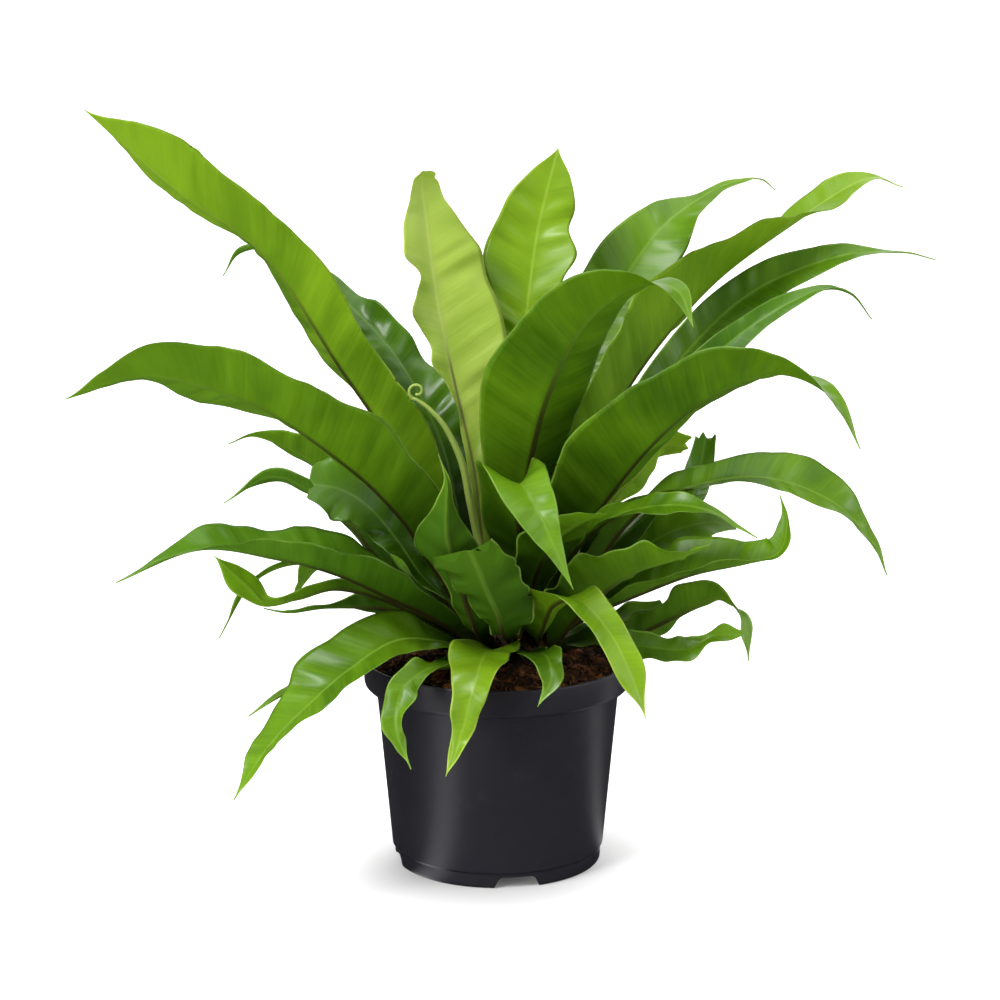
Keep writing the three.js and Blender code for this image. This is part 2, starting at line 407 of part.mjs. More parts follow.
function pottingSoil() {
  const ledge = POT_HEIGHT - RIM_BAND;
  const floorTop = FLOOR_RISE + WALL + GAP;
  const hub = HUB_RADIUS - HUB_WALL - GAP;
  const outside = [
    [0.5, WALL + GAP], [hub, WALL + GAP], [hub, floorTop],
    [WALL_BOTTOM_RADIUS - 2 * WALL - GAP, floorTop],
    [WALL_BOTTOM_RADIUS - WALL - 2 * GAP, floorTop + 1.7],
    [WALL_TOP_RADIUS - WALL - 2 * GAP, ledge + 1.3], [RIM_RADIUS - 3.9, ledge + 2.4],
    [RIM_RADIUS - 2.4, ledge + 4.2],
  ];
  const edge = RIM_RADIUS - 2.3;
  const rings = outside.map(([radius, z]) => circle(radius, () => z));
  for (const part of [1, 0.95, 0.86, 0.76, 0.66, 0.56, 0.46, 0.36, 0.006]) {
    rings.push(circle(edge * part, soilHeight));
  }
  return geometryOf(solid(lofted(rings)).subtract(crownBody(GAP)));
}

function circle(radius, height) {
  return Array.from({ length: 36 }, (_, i) => {
    const turn = radians(-i * 10);
    const [x, y] = [radius * Math.cos(turn), radius * Math.sin(turn)];
    return new THREE.Vector3(x, y, height(x, y));
  });
}

// ---- the crown ----
// The woody dome that the fronds grow from, with its tapering foot buried in the mix.
function crownBody(margin) {
  const { x, y, z, radius, foot, foot_radius: footRadius } = CROWN;
  const profile = [[0, foot - margin], [footRadius + margin, foot - margin]];
  for (let turn = 0; turn < 90; turn += 11.25) {
    const reach = radius + margin;
    profile.push([reach * Math.cos(radians(turn)), z + reach * Math.sin(radians(turn))]);
  }
  profile.push([0, z + radius + margin]);
  return solid(turned(profile, 32).translate(x, y, 0));
}

// ---- the fronds ----
// The value at t, from 0 to 1, on a smooth curve through values spread evenly over the length.
function along(values, t) {
  const curve = new THREE.SplineCurve(values.map((value, i) => new THREE.Vector2(i, value)));
  return curve.getPoint(t).y;
}

function rootPoint(tilt, turn) {
  const point = new THREE.Vector3();
  point.setFromSphericalCoords(CROWN.radius - ROOT_DEPTH, radians(tilt), 0);
  point.set(point.z * Math.cos(radians(turn)), point.z * Math.sin(radians(turn)), point.y);
  return point.add(new THREE.Vector3(CROWN.x, CROWN.y, CROWN.z));
}

// How wide one half of the blade is at t; side is -1 or 1.
function halfWidth(frond, side, t) {
  const [right, left = right] = frond.halves;
  return Math.max(TIP, along(side < 0 ? right : left, t));
}

// One row of a frond: six points round its section, the upper side from edge to edge first.
function frondRow(frond, midrib, t) {
  const middle = midrib.getPointAt(t);
  const ahead = midrib.getTangentAt(t);
  const face = radians(frond.face);
  const across = new THREE.Vector3(-Math.sin(face), Math.cos(face), 0);
  across.addScaledVector(ahead, -across.dot(ahead)).normalize();
  const up = new THREE.Vector3().crossVectors(ahead, across);
  const roll = radians(along(frond.roll, t));
  across.applyAxisAngle(ahead, roll);
  up.applyAxisAngle(ahead, roll);
  const cup = radians(along(frond.cup, t));
  const [height, count, start, skew] = frond.wave;
  const ruffle = height * smooth((t - 0.1) / 0.25) * (1 - smooth((t - 0.86) / 0.14));
  const upper = [-1, 0, 1].map((side) => {
    const half = halfWidth(frond, side, t);
    const phase = 2 * Math.PI * (count * t + start + (side > 0 ? skew : 0));
    const lift = Math.abs(side) * (half * Math.sin(cup) + ruffle * Math.sin(phase));
    const point = middle.clone().addScaledVector(across, side * half * Math.cos(cup));
    return point.addScaledVector(up, lift);
  });
  const lower = upper.map((point, i) => {
    const thickness = along(i === 1 ? RIB_THICKNESS : EDGE_THICKNESS, t);
    return point.clone().addScaledVector(up, -thickness);
  });
  return [...upper, ...lower.reverse()];
}

function frondGeometry(frond) {
  const points = frond.rib.map((p) => new THREE.Vector3(...p));
  const midrib = new THREE.CatmullRomCurve3([rootPoint(frond.tilt, frond.root), ...points]);
  midrib.curveType = "catmullrom";
  const rows = [];
  for (let i = 0; i <= ALONG; i++) rows.push(frondRow(frond, midrib, i / ALONG));
  return geometryOf(largest(solid(lofted(rows)).subtract(crownBody(GAP))));
}

// ---- the young frond, still rolled up at its tip ----
function crozier() {
  const { tilt, root, radius, coil, turns } = CROZIER;
  const points = CROZIER_STALK.map((p) => new THREE.Vector3(...p));
  const heart = points[points.length - 1].clone().add(new THREE.Vector3(0, 0, coil));
  for (let turn = 30; turn <= 360 * turns; turn += 30) {
    const part = turn / (360 * turns);
    const reach = coil * (1 - 0.7 * part);
    const [x, z] = [-reach * Math.sin(radians(turn)), -reach * Math.cos(radians(turn))];
    points.push(new THREE.Vector3(x, 0, z).add(heart));
  }
  const path = new THREE.CatmullRomCurve3([rootPoint(tilt, root), ...points]);
  path.curveType = "catmullrom";
  const rings = [];
  const steps = 44;
  for (let i = 0; i <= steps; i++) {
    const t = i / steps;
    const ahead = path.getTangentAt(t);
    const across = new THREE.Vector3(0, 1, 0).addScaledVector(ahead, -ahead.y).normalize();
    const up = new THREE.Vector3().crossVectors(ahead, across);
    const thick = radius * (1 - 0.62 * smooth((t - 0.45) / 0.55));
    rings.push([300, 240, 180, 120, 60, 0].map((turn) => path.getPointAt(t)
      .addScaledVector(across, thick * Math.cos(radians(turn)))
      .addScaledVector(up, thick * Math.sin(radians(turn)))));
  }
  return geometryOf(largest(solid(lofted(rings)).subtract(crownBody(GAP))));
}

// ---- the whole plant ----
const plant = new THREE.Group();
plant.name = "potted_fern";
plant.add(node("pot", pot(), POT_GREY, 0.42));
plant.add(node("potting_soil", pottingSoil(), SOIL_BROWN, 0.95));
plant.add(node("crown", geometryOf(crownBody(0)), CROWN_BROWN, 0.9));
for (const frond of FRONDS) {
  const color = frond.young ? YOUNG_GREEN : LEAF_GREEN;
  plant.add(node(`frond_${frond.name}`, frondGeometry(frond), color, 0.4));
}
plant.add(node("crozier", crozier(), YOUNG_GREEN, 0.5));

export default plant;
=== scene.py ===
import math
import random

import bmesh
import bpy
import numpy as np
from mathutils import Matrix, Vector, noise


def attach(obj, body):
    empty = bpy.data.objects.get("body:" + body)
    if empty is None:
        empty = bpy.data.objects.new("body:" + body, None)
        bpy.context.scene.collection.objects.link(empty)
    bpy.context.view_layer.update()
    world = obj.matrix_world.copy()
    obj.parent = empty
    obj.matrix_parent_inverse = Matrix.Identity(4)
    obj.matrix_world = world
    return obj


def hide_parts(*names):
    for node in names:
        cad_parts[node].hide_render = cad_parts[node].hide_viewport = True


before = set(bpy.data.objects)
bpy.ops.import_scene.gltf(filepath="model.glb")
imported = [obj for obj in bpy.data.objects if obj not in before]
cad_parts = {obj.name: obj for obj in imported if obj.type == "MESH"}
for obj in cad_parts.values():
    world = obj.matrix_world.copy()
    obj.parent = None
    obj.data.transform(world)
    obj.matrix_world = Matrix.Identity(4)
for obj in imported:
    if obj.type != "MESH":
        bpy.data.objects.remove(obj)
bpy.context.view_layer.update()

# A bird's-nest fern in a plastic nursery pot. Lengths in the tables are millimetres.
MM = 0.001

# ---- camera: the photograph's viewing angle, fitted to the ellipses of the pot ----
CAMERA_PLACE = (1.5, -1700, 595)
CAMERA_PITCH = 12.03  # degrees below the horizon
CAMERA_SENSOR, CAMERA_LENS = 36, 99.9

# ---- crown and frond sizes, as in the construction model ----
CROWN_CENTRE = np.array([8.0, 0.0, 134.0])
CROWN_RADIUS = 30
ROOT_DEPTH = 3
TIP = 0.25  # half the width of a frond's very tip
BLADE = 0.45  # thickness of the leaf blade

# One row per frond. leaf is the finish of its blade. tilt and root place its foot on the crown, and
# face is the direction that the blade spreads across. The lists run from foot to tip: halves, how
# wide the blade is right and left of the midrib, roll and cup in degrees, and rib, the points of the
# midrib. wave is the ruffle of the edges: height, count, start and skew.
FROND_KEYS = "name", "leaf", "tilt", "root", "face", "halves", "roll", "cup", "wave", "rib"
FRONDS = [dict(zip(FROND_KEYS, row)) for row in (
    ("far_left_tall", "bright", 28, 172, 165,
     [[4, 10, 14, 12, 10, 26, 34, 22, 18, 20, 17, 0], [5, 12, 24, 30, 32, 30, 31, 33, 35, 38, 30, 0]],
     [0, 30, 50, 52, 48, 45, 35], [38, 30, 24, 20, 16, 14, 8], [2, 3.2, 0.1, 0.4],
     [[-38, 6, 206], [-67, 14, 267], [-100, 26, 315], [-147, 44, 382], [-203, 60, 421], [-262, 76, 470]]),
    ("left_back_glossy", "deep", 28, 128, 140,
     [[4, 12, 16, 19, 18, 13, 10, 7, 0], [4, 14, 20, 24, 24, 18, 12, 7, 0]],
     [0, -10, -20, -25, -30, -20, 0], [38, 24, 15, 15, 10], [5, 5, 0.2, 0.45],
     [[-21, 24, 202], [-37, 48, 262], [-67, 80, 312], [-110, 112, 351], [-147, 132, 370],
     [-170, 142, 373], [-184, 146, 355]]),
    ("left_arching", "mature", 42, 196, 195,
     [[4, 5, 6, 6, 8, 18, 24, 18, 0], [6, 20, 34, 39, 40, 37, 33, 28, 0]],
     [8, 22, 30, 34, 38, 36, 30], [38, 30, 24, 18, 12, 12, 8], [2.8, 3.4, 0.3, 0.4],
     [[-41, -14, 196], [-59, -22, 226], [-91, -34, 261], [-146, -54, 303], [-207, -68, 323],
     [-256, -78, 311]]),
    ("left_short_curled", "mature", 45, 180, 180, [[3, 7, 14, 14, 9, 0], [3, 7, 24, 28, 15, 0]],
     [10, 30, 45, 50, 40, 10], [38, 30, 26, 20, 12], [1.5, 3, 0.3, 0.4],
     [[-43, 14, 184], [-71, 17, 216], [-102, 18, 241], [-126, 18, 259], [-152, 14, 271],
     [-169, 10, 267]]),
    ("left_glossy_droop", "deep", 50, 190, 186,
     [[2, 2, 5, 12, 20, 26, 28, 26, 15], [2, 2, 5, 10, 14, 14, 18, 21, 12]],
     [0, -10, -30, -50, -58, -58, -50], [38, 24, 14, 8, 6], [3, 3.4, 0.3, 0.4],
     [[-45, -16, 185], [-62, -10, 208], [-80, -9, 230], [-98, -12, 242], [-116, -14, 246]]),
    ("left_small_dark", "deep", 45, 152, 170, [[3, 7, 9, 9, 6, 0], [3, 8, 11, 12, 7, 0]],
     [0, 30, 50, 55, 50, 30], [34, 26, 20, 16, 10], [1.2, 3, 0.3, 0.4],
     [[-62, 26, 174], [-94, 32, 210], [-121, 37, 231], [-146, 40, 239], [-176, 42, 222]]),
    ("left_long_low", "deep", 70, 222, 200, [[4, 16, 31, 33, 24, 12, 0], [4, 13, 25, 27, 15, 5, 0]],
     [5, 4, 0, 4, 4, -5, 0], [40, 42, 40, 36, 34, 26, 10], [2, 3.6, 0.55, 0.4],
     [[-37, -37, 166], [-66, -53, 184], [-97, -67, 202], [-132, -82, 215], [-177, -98, 224],
     [-225, -112, 207]]),
    ("left_twisted", "mature", 62, 183, 190, [[3, 6, 7, 7, 9, 10, 4, 9, 0]],
     [10, 10, 15, 20, 40, 100, 120], [34, 26, 20, 16, 10], [1.2, 3, 0.3, 0.4],
     [[-42, -18, 160], [-71, -26, 176], [-100, -36, 185], [-123, -42, 180], [-142, -45, 178],
     [-154, -48, 190], [-173, -52, 209]]),
    ("left_thin", "mature", 62, 158, 175, [[3, 6, 9, 11, 6, 4, 0]],
     [0, 10, 20, 30, 10, 0], [34, 26, 20, 16, 10], [1, 3, 0.3, 0.4],
     [[-62, 22, 163], [-94, 26, 178], [-128, 28, 186], [-158, 30, 172], [-180, 32, 135]]),
    ("left_thin_grey", "deep", 80, 168, 185, [[3, 8, 11, 13, 6, 3, 0]],
     [10, 35, 50, 40, 20, 0], [34, 26, 20, 16, 10], [1, 3, 0.3, 0.4],
     [[-43, 0, 151], [-71, -2, 163], [-106, -4, 165], [-131, -6, 162], [-147, -8, 165]]),
    ("front_left_droop", "mature", 80, 214, -150, [[4, 9, 22, 27, 24, 14, 0], [4, 12, 19, 20, 18, 11, 0]],
     [0, -15, -25, -15, -5, 0, 0], [30, 18, 18, 12, 6], [1.8, 3, 0.5, 0.4],
     [[-36, -48, 154], [-62, -66, 159], [-88, -84, 147], [-111, -98, 130], [-136, -112, 107],
     [-157, -124, 77]]),
    ("front_left_behind", "mature", 80, 190, -165, [[3, 9, 12, 11, 8, 0]],
     [0, 10, 10, 0, 0], [34, 26, 20, 16, 10], [1, 3, 0.3, 0.4],
     [[-48, -22, 146], [-78, -36, 144], [-108, -50, 133], [-132, -62, 124], [-152, -74, 114]]),
    ("over_rim_left", "mature", 80, 236, -115, [[4, 8, 10, 7, 10, 6, 0], [3, 7, 8, 5, 9, 4, 0]],
     [0, 0, -15, -25, -10, 0], [34, 20, 16, 12, 6], [3, 3.2, 0.5, 0.4],
     [[-25, -62, 143], [-43, -84, 146], [-57, -98, 137], [-61, -104, 117], [-52, -106, 90]]),
    ("over_rim_front", "bright", 80, 262, -95,
     [[6, 14, 20, 20, 21, 19, 20, 15, 10, 8, 6, 3, 0], [5, 12, 18, 17, 19, 18, 16, 11, 10, 7, 5, 3, 0]],
     [0, 0, 0, 5, 10, 0, 0], [34, 16, 12, 8, 4], [3, 2.8, 0.3, 0.4],
     [[-3, -50, 149], [-8, -78, 153], [-14, -100, 141], [-21, -107, 115], [-31, -110, 87]]),
    ("over_rim_small", "mature", 80, 288, -70, [[5, 11, 12, 8, 0], [5, 10, 10, 8, 0]],
     [0, 0, 5, 20, 20], [34, 16, 12, 8, 4], [2, 2.6, 0.3, 0.5],
     [[21, -56, 149], [30, -82, 153], [32, -96, 143], [24, -102, 128]]),
    ("front_right_droop", "bright", 62, -46, -55, [[6, 15, 22, 16, 11, 10, 0], [6, 10, 16, 13, 11, 9, 0]],
     [0, -8, -12, -5, 20, 10, 0], [44, 30, 20, 14, 6], [2.2, 3, 0.2, 0.4],
     [[27, -48, 160], [34, -74, 184], [48, -99, 193], [65, -114, 179], [78, -121, 155], [88, -125, 127]]),
    ("front_curl_over", "mature", 45, -80, -80, [[4, 14, 22, 31, 23, 11, 0], [4, 12, 20, 28, 17, 8, 0]],
     [0, 0, 0, 8, 8, 0, 0], [34, 26, 32, 56, 28, 10, 8], [2.5, 3.4, 0.2, 0.4],
     [[17, -30, 176], [15, -46, 208], [12, -66, 238], [13, -92, 262], [22, -118, 254], [33, -132, 233],
     [44, -138, 209]]),
    ("upright_pale", "young", 12, 140, 115,
     [[4, 6, 7, 7, 8, 9, 9, 9, 10, 11, 12, 15, 19, 27, 34, 38, 39, 38, 37, 35, 31, 25, 19, 13, 11, 7],
     [4, 6, 6, 6, 6, 6, 6, 5, 5, 4, 4, 4, 6, 9, 16, 12, 16, 21, 16, 12, 23, 20, 17, 12, 8, 5]],
     [0, 0, 0, 0, 0], [42, 30, 20, 16, 20], [3, 3.6, 0.1, 0.4],
     [[-8, 10, 192], [-15, 24, 247], [-28, 40, 303], [-38, 50, 349], [-45, 57, 399], [-48, 55, 427],
     [-45, 48, 434]]),
    ("upright_glossy", "bright", 12, 62, 88,
     [[4, 5, 6, 8, 9, 10, 12, 13, 13, 15, 17, 19, 19, 22, 29, 20, 20, 13, 0],
     [4, 5, 6, 8, 9, 10, 11, 12, 12, 13, 15, 19, 24, 32, 31, 27, 22, 12, 0]],
     [0, 0, 0, 0, 0], [42, 28, 16, 12, 8], [3, 4.2, 0.1, 0.4],
     [[7, 24, 215], [11, 48, 275], [18, 70, 336], [25, 84, 388], [32, 90, 418], [39, 92, 445]]),
    ("centre_big", "mature", 12, -50, -62, [[5, 15, 29, 40, 38, 23, 0], [5, 15, 25, 29, 27, 18, 0]],
     [0, -4, -8, -8, -5, 0, 0], [38, 26, 18, 14, 14, 10], [2, 2.6, 0.1, 0.4],
     [[13, -14, 211], [20, -26, 263], [31, -40, 308], [52, -58, 353], [81, -72, 377], [105, -82, 376],
     [115, -88, 355]]),
    ("right_long_up", "bright", 28, 44, 25, [[4, 14, 33, 44, 40, 18, 0], [4, 8, 12, 14, 18, 18, 0]],
     [0, -25, -44, -46, -32, 5, 20], [38, 28, 22, 16, 12, 8], [3, 4.2, 0.1, 0.4],
     [[39, 18, 235], [70, 32, 281], [102, 50, 324], [141, 72, 363], [192, 98, 396], [240, 118, 422],
     [267, 130, 416]]),
    ("right_back_up", "mature", 40, 64, 45,
     [[4, 8, 13, 18, 22, 26, 27, 24, 7, 0], [4, 9, 15, 20, 24, 26, 25, 18, 3, 0]],
     [0, 15, 30, 40, 40, 10, -10], [38, 24, 18, 14, 8], [2.5, 4, 0.1, 0.4],
     [[24, 47, 234], [47, 84, 291], [76, 114, 345], [108, 138, 387], [142, 154, 410], [163, 160, 417],
     [176, 164, 418], [187, 168, 410]]),
    ("right_slim_upper", "mature", 52, 48, 18,
     [[3, 8, 12, 16, 20, 17, 13, 7, 0], [3, 7, 10, 13, 15, 16, 13, 7, 0]],
     [0, 20, 50, 70, 60, 30, 0], [38, 28, 22, 16, 8], [1.5, 3.4, 0.1, 0.4],
     [[56, 36, 230], [92, 62, 277], [128, 80, 320], [167, 88, 353], [219, 92, 374], [261, 96, 377],
     [285, 98, 372]]),
    ("right_slim_lower", "deep", 48, 18, 10, [[3, 7, 11, 14, 14, 11, 8, 5, 0]],
     [0, 15, 40, 60, 60, 20, 0], [38, 28, 22, 16, 8], [1.5, 3.4, 0.1, 0.4],
     [[56, 15, 212], [90, 18, 268], [128, 22, 312], [163, 32, 340], [201, 40, 359], [223, 45, 357],
     [238, 48, 340]]),
    ("right_inner_low", "deep", 44, 6, 5, [[2, 2, 8, 12, 11, 4], [2, 3, 12, 17, 13, 4]],
     [0, 15, 35, 45, 45], [38, 24, 16, 12, 8], [1.2, 2.6, 0.2, 0.4],
     [[51, 6, 173], [66, 12, 193], [84, 18, 209], [101, 22, 223]]),
    ("right_big", "mature", 28, -25, -15, [[4, 26, 42, 45, 36, 24, 0], [3, 16, 24, 24, 18, 16, 0]],
     [0, -22, -32, -32, -32, -10, 10], [38, 32, 26, 20, 16, 12, 8], [2, 3, 0.1, 0.4],
     [[39, -10, 193], [68, -24, 240], [97, -38, 279], [128, -50, 307], [166, -64, 324], [198, -74, 312],
     [216, -80, 281]]),
    ("right_arching", "mature", 50, -8, 5, [[4, 13, 18, 12, 12, 12, 0], [4, 11, 14, 16, 22, 20, 0]],
     [0, -15, -20, 20, 32, 28, 20], [38, 28, 18, 12, 8], [2, 3.4, 0.4, 0.4],
     [[58, -2, 189], [89, 2, 226], [127, 8, 241], [169, 14, 244], [211, 20, 228], [238, 26, 201],
     [250, 30, 177]]),
    ("right_thin_front", "mature", 45, -30, -25, [[3, 11, 14, 12, 7, 0]],
     [0, 0, 12, 22, 25, 10], [38, 22, 16, 12, 6], [2, 3.4, 0.4, 0.4],
     [[39, -26, 194], [63, -40, 226], [93, -54, 240], [125, -66, 241], [156, -76, 226]]),
    ("right_broad_hidden", "mature", 62, 18, 0,
     [[3, 4, 6, 11, 22, 24, 18, 4], [3, 4, 6, 10, 18, 22, 16, 4]],
     [0, 10, 25, 40, 40, 20], [38, 22, 16, 12, 6], [1.6, 3.4, 0.4, 0.4],
     [[65, 12, 172], [88, 18, 194], [110, 22, 207], [134, 24, 213], [152, 24, 210]]),
    ("front_right_trough", "mature", 80, -28, -25,
     [[3, 13, 28, 31, 27, 20, 6], [3, 8, 15, 18, 15, 10, 4]],
     [0, -15, -22, -25, -20, 0], [38, 32, 26, 20, 12], [3, 3.8, 0.2, 0.4],
     [[47, -34, 164], [65, -53, 187], [84, -69, 204], [106, -82, 214], [126, -90, 224]]),
    ("right_upcurled", "mature", 62, -14, -10,
     [[3, 6, 11, 14, 15, 13, 11, 6, 0], [3, 7, 14, 22, 26, 22, 16, 8, 0]],
     [0, 5, 8, 8, 10, 30, 40], [38, 36, 36, 34, 26, 16], [2, 3, 0.2, 0.4],
     [[52, -16, 161], [82, -26, 177], [119, -36, 194], [152, -44, 203], [172, -48, 210],
     [177, -46, 229], [172, -42, 245]]),
    ("right_low_waisted", "mature", 80, 6, -10,
     [[3, 6, 9, 11, 12, 12, 15, 22, 14, 3, 5, 6, 0], [3, 7, 9, 10, 13, 17, 9, 8, 6, 4, 5, 5, 0]],
     [0, -25, -45, -52, -42, 5, 20], [34, 24, 18, 12, 6], [2.5, 3, 0.2, 0.4],
     [[59, 6, 142], [88, 6, 145], [114, 4, 157], [139, 0, 170], [154, -4, 159], [159, -6, 130]]),
    ("right_lowest", "mature", 80, -14, -8,
     [[3, 8, 11, 12, 12, 12, 12, 12, 10, 4, 8, 2], [3, 6, 9, 10, 10, 9, 9, 10, 8, 3, 9, 3]],
     [0, 20, 40, 40, 40, 35], [34, 22, 16, 12, 6], [2.5, 3.4, 0.2, 0.4],
     [[62, -22, 148], [89, -30, 146], [116, -34, 145], [134, -36, 154], [151, -38, 156]]),
    ("right_round_behind", "mature", 80, 28, 20, [[3, 5, 9, 12, 12, 5], [3, 5, 8, 10, 10, 4]],
     [0, 10, 25, 30, 30], [34, 16, 12, 8, 4], [2, 2, 0.2, 0.4],
     [[61, 28, 140], [80, 38, 145], [96, 44, 149], [107, 46, 154]]),
    ("right_dark_lobed", "deep", 62, 45, 70, [[3, 4, 5, 6, 7, 8, 9, 9, 7], [3, 4, 5, 6, 8, 9, 10, 10, 7]],
     [0, 0, 0, 10, 20], [34, 26, 24, 20, 10], [3, 3, 0.2, 0.4],
     [[60, 42, 184], [96, 68, 200], [126, 84, 215], [133, 92, 234], [137, 96, 255]]),
    ("right_light_lobed", "bright", 62, 64, 15,
     [[3, 4, 6, 8, 7, 9, 14, 12, 12, 8], [3, 4, 7, 9, 10, 11, 13, 15, 15, 7]],
     [0, -20, -55, -65, -65], [34, 26, 18, 12, 6], [3, 3, 0.2, 0.4],
     [[54, 58, 193], [75, 76, 216], [94, 92, 234], [108, 104, 247], [125, 112, 246]]),
    ("front_left_collar", "inner", 60, 236, -100,
     [[3, 6, 10, 12, 10, 17, 27, 13, 3, 0], [3, 6, 12, 17, 19, 20, 17, 9, 3, 0]],
     [0, 0, 0, 5, 10, 15, 20], [44, 30, 24, 30, 40, 30], [1.5, 3.4, 0.2, 0.4],
     [[-13, -54, 162], [-20, -70, 187], [-26, -82, 210], [-30, -88, 230], [-30, -89, 249],
     [-30, -87, 263], [-35, -83, 278]]),
    ("front_centre_low", "inner", 60, 272, -96,
     [[3, 4, 6, 9, 11, 15, 20, 23, 29, 27], [3, 4, 7, 14, 20, 22, 23, 23, 21, 15]],
     [0, 0, 0, 0, 0], [44, 30, 24, 22, 26, 20], [3, 4.6, 0.2, 0.4],
     [[3, -66, 164], [0, -82, 180], [-6, -92, 196], [-11, -97, 210], [-16, -99, 222]]),
    ("front_right_wavy", "mature", 58, -80, -62, [[3, 11, 16, 20, 16, 6], [3, 9, 17, 22, 14, 5]],
     [0, -5, -10, -5, 0], [44, 26, 16, 14, 10], [2.5, 3.4, 0.2, 0.4],
     [[19, -34, 174], [25, -48, 200], [36, -63, 222], [50, -78, 236], [65, -92, 244]]),
    ("back_left_arching", "mature", 62, 118, 118, [[3, 16, 26, 28, 22, 0]],
     [0, 0, 0, 0, 0], [38, 28, 20, 14, 6], [2.5, 3.6, 0.2, 0.4],
     [[-30, 70, 205], [-62, 125, 245], [-90, 175, 255], [-112, 215, 235]]),
    ("back_right_arching", "mature", 62, 92, 80, [[3, 16, 26, 29, 22, 0]],
     [0, 0, 0, 0, 0], [38, 28, 20, 14, 6], [2.5, 3.6, 0.5, 0.4],
     [[18, 70, 205], [30, 130, 262], [42, 185, 280], [50, 230, 262]]),
    ("back_low_left", "mature", 80, 135, 135, [[3, 16, 23, 24, 16, 0]],
     [0, 0, 0, 0, 0], [38, 26, 16, 10, 6], [2.5, 3, 0.7, 0.4],
     [[-50, 62, 160], [-90, 104, 172], [-122, 136, 158], [-142, 158, 130]]),
    ("back_low_middle", "mature", 80, 98, 98, [[3, 16, 24, 25, 16, 0]],
     [0, 0, 0, 0, 0], [38, 26, 16, 10, 6], [2.5, 3, 0.1, 0.4],
     [[-2, 75, 165], [-8, 130, 182], [-12, 178, 166], [-14, 206, 134]]),
    ("back_low_right", "mature", 80, 60, 60, [[3, 16, 23, 24, 16, 0]],
     [0, 0, 0, 0, 0], [38, 26, 16, 10, 6], [2.5, 3, 0.4, 0.4],
     [[52, 70, 158], [86, 122, 170], [110, 164, 160], [124, 190, 138]]),
)]


def smooth(x):
    x = np.clip(x, 0.0, 1.0)
    return x * x * (3 - 2 * x)


def between(a, b, c, d, u):
    """The Catmull-Rom curve through a, b, c and d, from b, where u is 0, to c, where u is 1."""
    return b + 0.5 * u * (c - a + u * (2 * a - 5 * b + 4 * c - d + u * (3 * b - a - 3 * c + d)))


def along(values, t):
    """The values at t, from 0 to 1, on a smooth curve through a list spread evenly over the length."""
    v = np.asarray(values, float)
    last = len(v) - 1
    x = np.clip(t, 0, 1) * last
    i = np.minimum(x.astype(int), last - 1)
    return between(v[np.maximum(i - 1, 0)], v[i], v[i + 1], v[np.minimum(i + 2, last)], x - i)


def polar(radius, turn):
    return radius * math.cos(turn), radius * math.sin(turn)


def outward(tilt, turn):
    """The direction at tilt from straight up, towards turn."""
    return np.array([*polar(math.sin(tilt), turn), math.cos(tilt)])


def root_point(tilt, turn):
    """A frond's foot, just under the surface of the crown."""
    out = outward(math.radians(tilt), math.radians(turn))
    return CROWN_CENTRE + (CROWN_RADIUS - ROOT_DEPTH) * out


def spline(points, steps=240):
    """Points of the Catmull-Rom curve through the given ones."""
    p = [np.asarray(q, float) for q in points]
    p = [2 * p[0] - p[1]] + p + [2 * p[-1] - p[-2]]
    curve = []
    for x in np.linspace(0, len(points) - 1, steps + 1):
        i = min(int(x), len(points) - 2)
        curve.append(between(*p[i : i + 4], x - i))
    return np.array(curve)


def at_share(curve, t):
    """The points at the shares t of the curve's length, and that length."""
    run = np.concatenate([[0], np.cumsum(np.linalg.norm(np.diff(curve, axis=0), axis=1))])
    return np.stack([np.interp(t * run[-1], run, curve[:, k]) for k in range(3)], -1), run[-1]


def unit(v):
    return v / np.linalg.norm(v, axis=-1, keepdims=True)


def sideways(curve, t, step, level):
    """The directions across a curve at t, as near to level as can be, and up from it."""
    after, before = (at_share(curve, np.clip(t + s, 0, 1))[0] for s in (step, -step))
    ahead = unit(after - before)
    across = unit(level - (ahead @ level)[:, None] * ahead)
    return across, np.cross(ahead, across)


def midrib_frame(frond, t):
    """Points of the midrib, the directions across and up from the blade there, and its length."""
    curve = spline([root_point(frond["tilt"], frond["root"])] + frond["rib"])
    middle, length = at_share(curve, t)
    face = math.radians(frond["face"])
    across, up = sideways(curve, t, 1e-3, np.array([-math.sin(face), math.cos(face), 0.0]))
    roll = np.radians(along(frond["roll"], t))[:, None]
    rolled = across * np.cos(roll) + up * np.sin(roll)
    return middle, rolled, up * np.cos(roll) - across * np.sin(roll), length


VEIN_SLOPE = 0.45  # how far forward the side veins run for each step out from the midrib
QUILT_SPACING = 17  # between the swells of a blade
QUILT_HEIGHT = 0.75
RIPPLES = dict(  # the height of the swells where a blade is puckered more than the others
    upright_glossy=1.1, front_left_droop=1.0, far_left_tall=0.9, left_back_glossy=1.2,
    right_slim_upper=0.9, right_arching=0.9, right_long_up=0.8, right_back_up=0.9,
    left_glossy_droop=0.8, over_rim_left=0.9, over_rim_front=0.9, upright_pale=0.8,
)
BLUNT_ENDS = dict(  # how far the end of a cut off looking blade is drawn in and out
    front_centre_low=2.4, left_glossy_droop=1.5, right_dark_lobed=2, right_light_lobed=2,
    upright_pale=0.8, front_right_wavy=1.5,
)
LOBE = 0.025  # how far the outline wanders, as a share of the half width
LOBES = dict(  # and how far on the blades with the waviest edges
    over_rim_front=0.09, over_rim_left=0.12, over_rim_small=0.10, front_left_droop=0.05,
    left_twisted=0.08, front_centre_low=0.06, right_lowest=0.06, front_left_collar=0.05,
)
